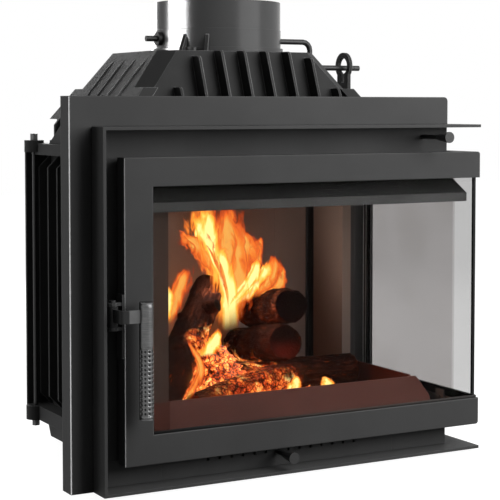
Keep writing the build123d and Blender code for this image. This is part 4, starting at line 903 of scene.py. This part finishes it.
# Depth behind the mask's face, then (x, z, half width) from the root to the tip
view_turn = -math.radians(28.87)
flame_spread = 1.9
flames = (
    (0.185, ((0.0164, 0.160, 0.010), (0.0131, 0.2127, 0.0144), (-0.0031, 0.261, 0.0158),
            (-0.0224, 0.3106, 0.015), (-0.0300, 0.362, 0.011))),
    (0.190, ((0.0223, 0.165, 0.009), (0.0273, 0.2214, 0.0188), (0.0174, 0.274, 0.0216),
            (0.0109, 0.3118, 0.018), (0.0150, 0.362, 0.013))),
    (0.188, ((0.0082, 0.230, 0.009), (-0.0177, 0.2701, 0.0129), (-0.0385, 0.2925, 0.0114),
            (-0.0639, 0.3134, 0.0021))),
    (0.195, ((0.0283, 0.1962, 0.0116), (0.0432, 0.2491, 0.0175), (0.0448, 0.2897, 0.0131),
            (0.0349, 0.325, 0.0022))),
    (0.198, ((0.0365, 0.1997, 0.0116), (0.0564, 0.2422, 0.0131), (0.0664, 0.2739, 0.0102),
            (0.0614, 0.3019, 0.0022))),
    (0.180, ((0.017, 0.1944, 0.0086), (0.0383, 0.2204, 0.0087), (0.0565, 0.244, 0.0072),
            (0.0648, 0.2697, 0.0022))),
    (0.182, ((0.0279, 0.2006, 0.0087), (0.0559, 0.2235, 0.0087), (0.0725, 0.2429, 0.0073),
            (0.0792, 0.2615, 0.0022))),
    (0.200, ((0.0542, 0.2042, 0.0073), (0.086, 0.2228, 0.0118), (0.0996, 0.2471, 0.0088),
            (0.0962, 0.2753, 0.0018))),
    (0.202, ((0.072, 0.2043, 0.0073), (0.1024, 0.2172, 0.0103), (0.1144, 0.2358, 0.0059),
            (0.1178, 0.2563, 0.0018))),
    (0.205, ((0.0737, 0.2553, 0.0044), (0.0787, 0.2771, 0.0059), (0.0838, 0.299, 0.0015))),
    (0.150, ((-0.1117, 0.1676, 0.0055), (-0.1056, 0.1976, 0.0097), (-0.1041, 0.2251, 0.0097),
            (-0.1132, 0.2505, 0.0021))),
    (0.155, ((-0.0986, 0.1798, 0.0055), (-0.0863, 0.2124, 0.0083), (-0.0739, 0.2409, 0.0084),
            (-0.0598, 0.2681, 0.0021))),
    (0.145, ((-0.1186, 0.1853, 0.0041), (-0.1186, 0.2073, 0.0055), (-0.1171, 0.232, 0.0021))),
    (0.060, ((-0.1164, 0.0924, 0.005), (-0.1, 0.1161, 0.005), (-0.0926, 0.1382, 0.004),
            (-0.103, 0.1604, 0.0028), (-0.1164, 0.1813, 0.0011))),
    (0.060, ((0.0514, 0.0903, 0.0083), (0.0546, 0.1011, 0.0069), (0.0562, 0.1161, 0.0017))),
    (0.060, ((0.1065, 0.0923, 0.0084), (0.1049, 0.1008, 0.0056), (0.1016, 0.1095, 0.0017))),
    (0.110, ((-0.0594, 0.1416, 0.011), (-0.0485, 0.1573, 0.0096), (-0.0408, 0.1788, 0.0028))),
)
bright_ones = (0, 5, 6, 10, 14, 15, 16)
for order, (depth, places) in enumerate(flames):
    for sheet, extra in enumerate((0.0, 1.2)):
        finish = bright_flame if order in bright_ones else orange_flame
        flame_piece(f"flame_{order}_{sheet}", depth, places, finish, order * 2 + sheet, view_turn + extra)


# Left end of the log guard

guard_end_inset = 0.0735
guard_end_lap = 0.0008
guard_end_gap = 0.0012
guard_end_foot = 0.0023
guard_end_top = 0.0465
guard_end_sheet = 0.001


def guard_end_piece():
    """Upright end plate against the liner's front edge: a thin rectangle carried from left to right.

    It stands in the front casting's opening, on its sill, and reaches from the
    opening's side to just over the guard's end.
    """
    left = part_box("front_casting")[0][0] + guard_end_inset
    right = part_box("log_guards")[0][0] + guard_end_lap
    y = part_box("left_liner")[0][1] - guard_end_gap
    foot, top = hearth_z + guard_end_foot, hearth_z + guard_end_top
    back = y + guard_end_sheet
    profile = np.array([(y, foot), (y, top), (back, top), (back, foot), (y, foot)])
    xs = np.array([left, left, right, right])
    size = np.array([0, 1, 1, 0])[:, None, None]
    middle = profile[:4].mean(axis=0)
    points = np.empty((4, 5, 3))
    points[..., 0] = xs[:, None]
    points[..., 1:] = middle + (profile - middle)[None] * size
    piece = grid_piece("guard_end", points, guard_paint_and_painted_firelight, around=True)
    piece.data.polygons.foreach_set("use_smooth", [False] * len(piece.data.polygons))


guard_end_piece()


# Sealing bead under the panes

bottom_rail = 0.0371
bead_start = 0.039
bead_end = 0.025
bead_out = 0.001
bead_up = 0.002
bead_proud = 0.0009


def bead_piece():
    """Bead along the foot of both panes: an oval carried along the front, round the corner and back.

    The oval's half sizes are one millimetre out and two up. It shrinks to
    nothing at both ends.
    """
    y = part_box("front_glass")[0][1]
    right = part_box("side_glass")[1][0]
    frame_low, frame_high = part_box("door_frame")
    middle_z = frame_low[2] + bottom_rail + bead_up
    left, rear = frame_low[0] + bead_start, frame_high[1] - bead_end
    places = np.array([(left, y), (left, y), (right, y), (right, rear), (right, rear)])
    outward = np.array([(0, -1), (0, -1), (1, -1), (1, 0), (1, 0)], float)
    size = np.array([0, 1, 1, 1, 0])[:, None]
    turn = np.linspace(0, 2 * np.pi, 17)[None, :]
    out = bead_proud + bead_out * size * np.cos(turn)
    points = np.empty((5, 17, 3))
    points[..., :2] = places[:, None] + outward[:, None] * out[..., None]
    points[..., 2] = middle_z + bead_up * size * np.sin(turn)
    piece = grid_piece("pane_bead", points, rubber_bead, body="door", around=True)


bead_piece()


# Sill panel with its air notches, cut from one outline

notch_count = 14
notch_pitch = 0.01725
notch_shift = 0.0014
notch_half = 0.0019
notch_bow_z = 0.0274
notch_clear = 0.004
rod_hole = 0.0031


def sill_piece():
    """Sill plate with round-bottomed notches along its top and a round hole for the air rod.

    The outline runs along the top from notch to notch, each notch two straight
    sides and a half circle, and closes along the foot. The flat is filled
    between outline and hole and thickened backwards. The notch over the air
    rod is left out.
    """
    low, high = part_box("sill_panel_centre")
    rod_low, rod_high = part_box("air_rod")
    rod_x, rod_z = (rod_low[0] + rod_high[0]) / 2, (rod_low[2] + rod_high[2]) / 2
    middle = (low[0] + high[0]) / 2 + notch_shift
    notch_xs = middle + (np.arange(notch_count) - (notch_count - 1) / 2) * notch_pitch
    bow = np.linspace(np.pi, 2 * np.pi, 9)
    outline = [(low[0], low[2]), (low[0], high[2])]
    for notch_x in notch_xs[np.abs(notch_xs - rod_x) > notch_clear]:
        outline.append((notch_x - notch_half, high[2]))
        outline += list(zip(notch_x + notch_half * np.cos(bow), notch_bow_z + notch_half * np.sin(bow)))
        outline.append((notch_x + notch_half, high[2]))
    outline += [(high[0], high[2]), (high[0], low[2])]
    ring = np.linspace(0, 2 * np.pi, 25)[:-1]
    hole = list(zip(rod_x + rod_hole * np.cos(ring), rod_z + rod_hole * np.sin(ring)))
    work = bmesh.new()
    for loop in (outline, hole):
        corners = [work.verts.new((x, low[1], z)) for x, z in loop]
        for first, second in zip(corners, corners[1:] + corners[:1]):
            work.edges.new((first, second))
    bmesh.ops.triangle_fill(work, edges=work.edges, use_beauty=True)
    for face in work.faces:
        face.normal_update()
        if face.normal.y > 0:
            face.normal_flip()
    mesh = bpy.data.meshes.new("notched_sill")
    work.to_mesh(mesh)
    work.free()
    piece = add_piece("notched_sill", mesh, sheet_paint)
    add_wall(piece, high[1] - low[1])
    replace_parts(piece, "sill_panel_centre")


sill_piece()


# Perforated handle tube

tube_low, tube_high = (np.array(corner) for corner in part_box("handle_tube"))
tube_middle = (tube_low + tube_high) / 2
tube_radius = (tube_high[0] - tube_low[0]) / 2
tube_wall = 0.0015
hole_columns = 10
hole_rows = 15
hole_radius = 0.0014
hole_zone = 0.082
hole_foot = 0.004


def tube_piece():
    """Tube whose lower part is pierced by rows of round holes.

    Each cell of the pierced part is a square ring: eight points on the cell's
    rim and eight on its hole, rolled round the tube. Plain bands close the
    top and the foot.
    """
    cell_width = 2 * np.pi / hole_columns
    cell_height = hole_zone / hole_rows
    corner = np.linspace(0, 2 * np.pi, 17)[:-1]
    square = np.stack([np.cos(corner), np.sin(corner)], axis=-1)
    square /= np.abs(square).max(axis=1, keepdims=True)
    ring = np.stack([np.cos(corner), np.sin(corner)], axis=-1)
    points, faces = [], []

    def roll(angle, height):
        """Points on the tube's round at given angles and heights."""
        angle, height = np.broadcast_arrays(angle, height)
        return np.stack(
            [
                tube_middle[0] + tube_radius * np.cos(angle),
                tube_middle[1] + tube_radius * np.sin(angle),
                height,
            ],
            axis=-1,
        )

    for column in range(hole_columns):
        for row in range(hole_rows):
            angle = (column + 0.5) * cell_width
            height = tube_low[2] + hole_foot + (row + 0.5) * cell_height
            base = len(points) * 32
            outer = roll(
                angle + square[:, 0] * cell_width / 2,
                height + square[:, 1] * cell_height / 2,
            )
            inner = roll(
                angle + ring[:, 0] * hole_radius / tube_radius,
                height + ring[:, 1] * hole_radius,
            )
            points.append(np.concatenate([outer, inner]))
            step = np.arange(16)
            following = (step + 1) % 16
            faces.append(np.stack([step, following, following + 16, step + 16], axis=-1) + base)
    points = np.concatenate(points)
    faces = [np.concatenate(faces)]
    quarters = np.array([-1, -0.5, 0, 0.5]) * cell_width / 2
    turn = np.concatenate([quarters + (column + 0.5) * cell_width for column in range(hole_columns)])
    turn = np.append(turn, turn[0] + 2 * np.pi)
    bands = (
        (tube_low[2], tube_low[2] + hole_foot, 2),
        (tube_low[2] + hole_foot + hole_zone, tube_high[2], 12),
    )
    for low, high, steps in bands:
        heights = np.linspace(low, high, steps)
        grid = roll(turn[None, :], heights[:, None])
        faces.append(grid_quads(steps, turn.size) + len(points))
        points = np.concatenate([points, grid.reshape(-1, 3)])
    mesh = bpy.data.meshes.new("handle_sleeve")
    mesh.from_pydata(points.tolist(), [], np.concatenate(faces).tolist())
    close_mesh(mesh, 2e-5)
    mesh.polygons.foreach_set("use_smooth", [True] * len(mesh.polygons))
    piece = add_piece("handle_sleeve", mesh, brushed_handle, "handle")
    add_wall(piece, tube_wall)
    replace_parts(piece, "handle_tube")


tube_piece()


# Studio

room_level = 0.05
floor_reach = 6.0


def straight_look(tree):
    """One for what is seen straight, through glass or in a reflection, none for scattered light."""
    path = node(tree, "ShaderNodeLightPath")
    seen = math_node(tree, "MAXIMUM", path.outputs["Is Camera Ray"], path.outputs["Is Transmission Ray"])
    seen = math_node(tree, "MAXIMUM", seen, path.outputs["Is Glossy Ray"])
    first = math_node(tree, "LESS_THAN", path.outputs["Diffuse Depth"], 0.5)
    return math_node(tree, "MULTIPLY", seen, first)


def make_floor():
    """Wide pale floor under the insert."""
    material, tree, surface = new_material("studio_floor")
    sockets = {
        "Base Color": colour(0.15),
        "Roughness": 0.9,
        "Emission Color": colour(1.0),
        "Emission Strength": math_node(tree, "MULTIPLY", straight_look(tree), 0.95),
    }
    set_sockets(tree, surface, sockets)
    low, high = -floor_reach, floor_reach
    points = np.array([[[low, low, 0], [high, low, 0]], [[low, high, 0], [high, high, 0]]], float)
    grid_piece("studio_floor", points, material)


def add_light(name, place, target, size, power):
    """Soft square lamp aimed at a point."""
    lamp = bpy.data.lights.new(name, "AREA")
    lamp.size = size
    lamp.energy = power
    holder = bpy.data.objects.new(name, lamp)
    holder.location = place
    holder.rotation_euler = (Vector(target) - Vector(place)).to_track_quat("-Z", "Y").to_euler()
    holder.visible_camera = False
    bpy.context.scene.collection.objects.link(holder)
    return holder


def add_glow(name, place, radius, power, tint):
    """Small warm lamp inside the fire."""
    lamp = bpy.data.lights.new(name, "POINT")
    lamp.shadow_soft_size = radius
    lamp.energy = power
    lamp.color = tint
    holder = bpy.data.objects.new(name, lamp)
    holder.location = place
    holder.visible_camera = False
    holder.visible_transmission = False
    holder.visible_glossy = False
    bpy.context.scene.collection.objects.link(holder)


make_floor()

# Lamps: place, target, side in metres and power in watts
for lamp_name, place, target, size, power in (
    ("key", (0.75, -1.2, 0.95), (0, -0.1, 0.45), 1.2, 30),
    ("top", (0.3, -0.8, 1.7), (0, 0, 0.45), 0.9, 6),
    ("back", (0.35, 1.9, 1.0), (0, 0.1, 0.3), 1.2, 42),
    ("left", (-1.6, 0.9, 0.7), (-0.1, 0.1, 0.25), 1.0, 9),
):
    add_light(lamp_name, place, target, size, power)

# The rim lamp draws the bright streak on the flue collar alone
rim = add_light("rim", (-1.45, 0.42, 0.6), (0.0, 0.06, 0.6), 1.1, 560)
rim.visible_diffuse = False
lit_by_rim = bpy.data.collections.new("lit_by_rim")
lit_by_rim.objects.link(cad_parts["flue_collar"])
rim.light_linking.receiver_collection = lit_by_rim
add_glow("fire_glow", (0.0, face_y + 0.15, 0.25), 0.05, 2.4, (1.0, 0.86, 0.76))
add_glow("ember_glow", (0.01, face_y + 0.085, 0.145), 0.03, 0.9, (1.0, 0.32, 0.12))

world = bpy.data.worlds.new("studio")
bpy.context.scene.world = world
world.use_nodes = True
sky = world.node_tree
sky.nodes.clear()
level = math_node(sky, "ADD", math_node(sky, "MULTIPLY", straight_look(sky), 1 - room_level), room_level)
backdrop = node(sky, "ShaderNodeBackground", {"Color": colour(1.0), "Strength": level})
end = node(sky, "ShaderNodeOutputWorld")
sky.links.new(backdrop.outputs[0], end.inputs[0])

# Camera: from the front and a little from the left, tilted slightly down
camera_tilt = 2.968
camera_turn = 28.969
camera_data = bpy.data.cameras.new("camera")
camera_data.sensor_width = 36.0
camera_data.lens = 108.77
camera_data.shift_y = -0.13
camera_data.clip_end = 50.0
camera = bpy.data.objects.new("camera", camera_data)
camera.location = (-1.00422, face_y - 1.72363, 0.48466)
camera.rotation_euler = (math.radians(90 - camera_tilt), 0, math.radians(-camera_turn))
bpy.context.scene.collection.objects.link(camera)
bpy.context.scene.camera = camera
bpy.context.scene.view_settings.view_transform = "Standard"
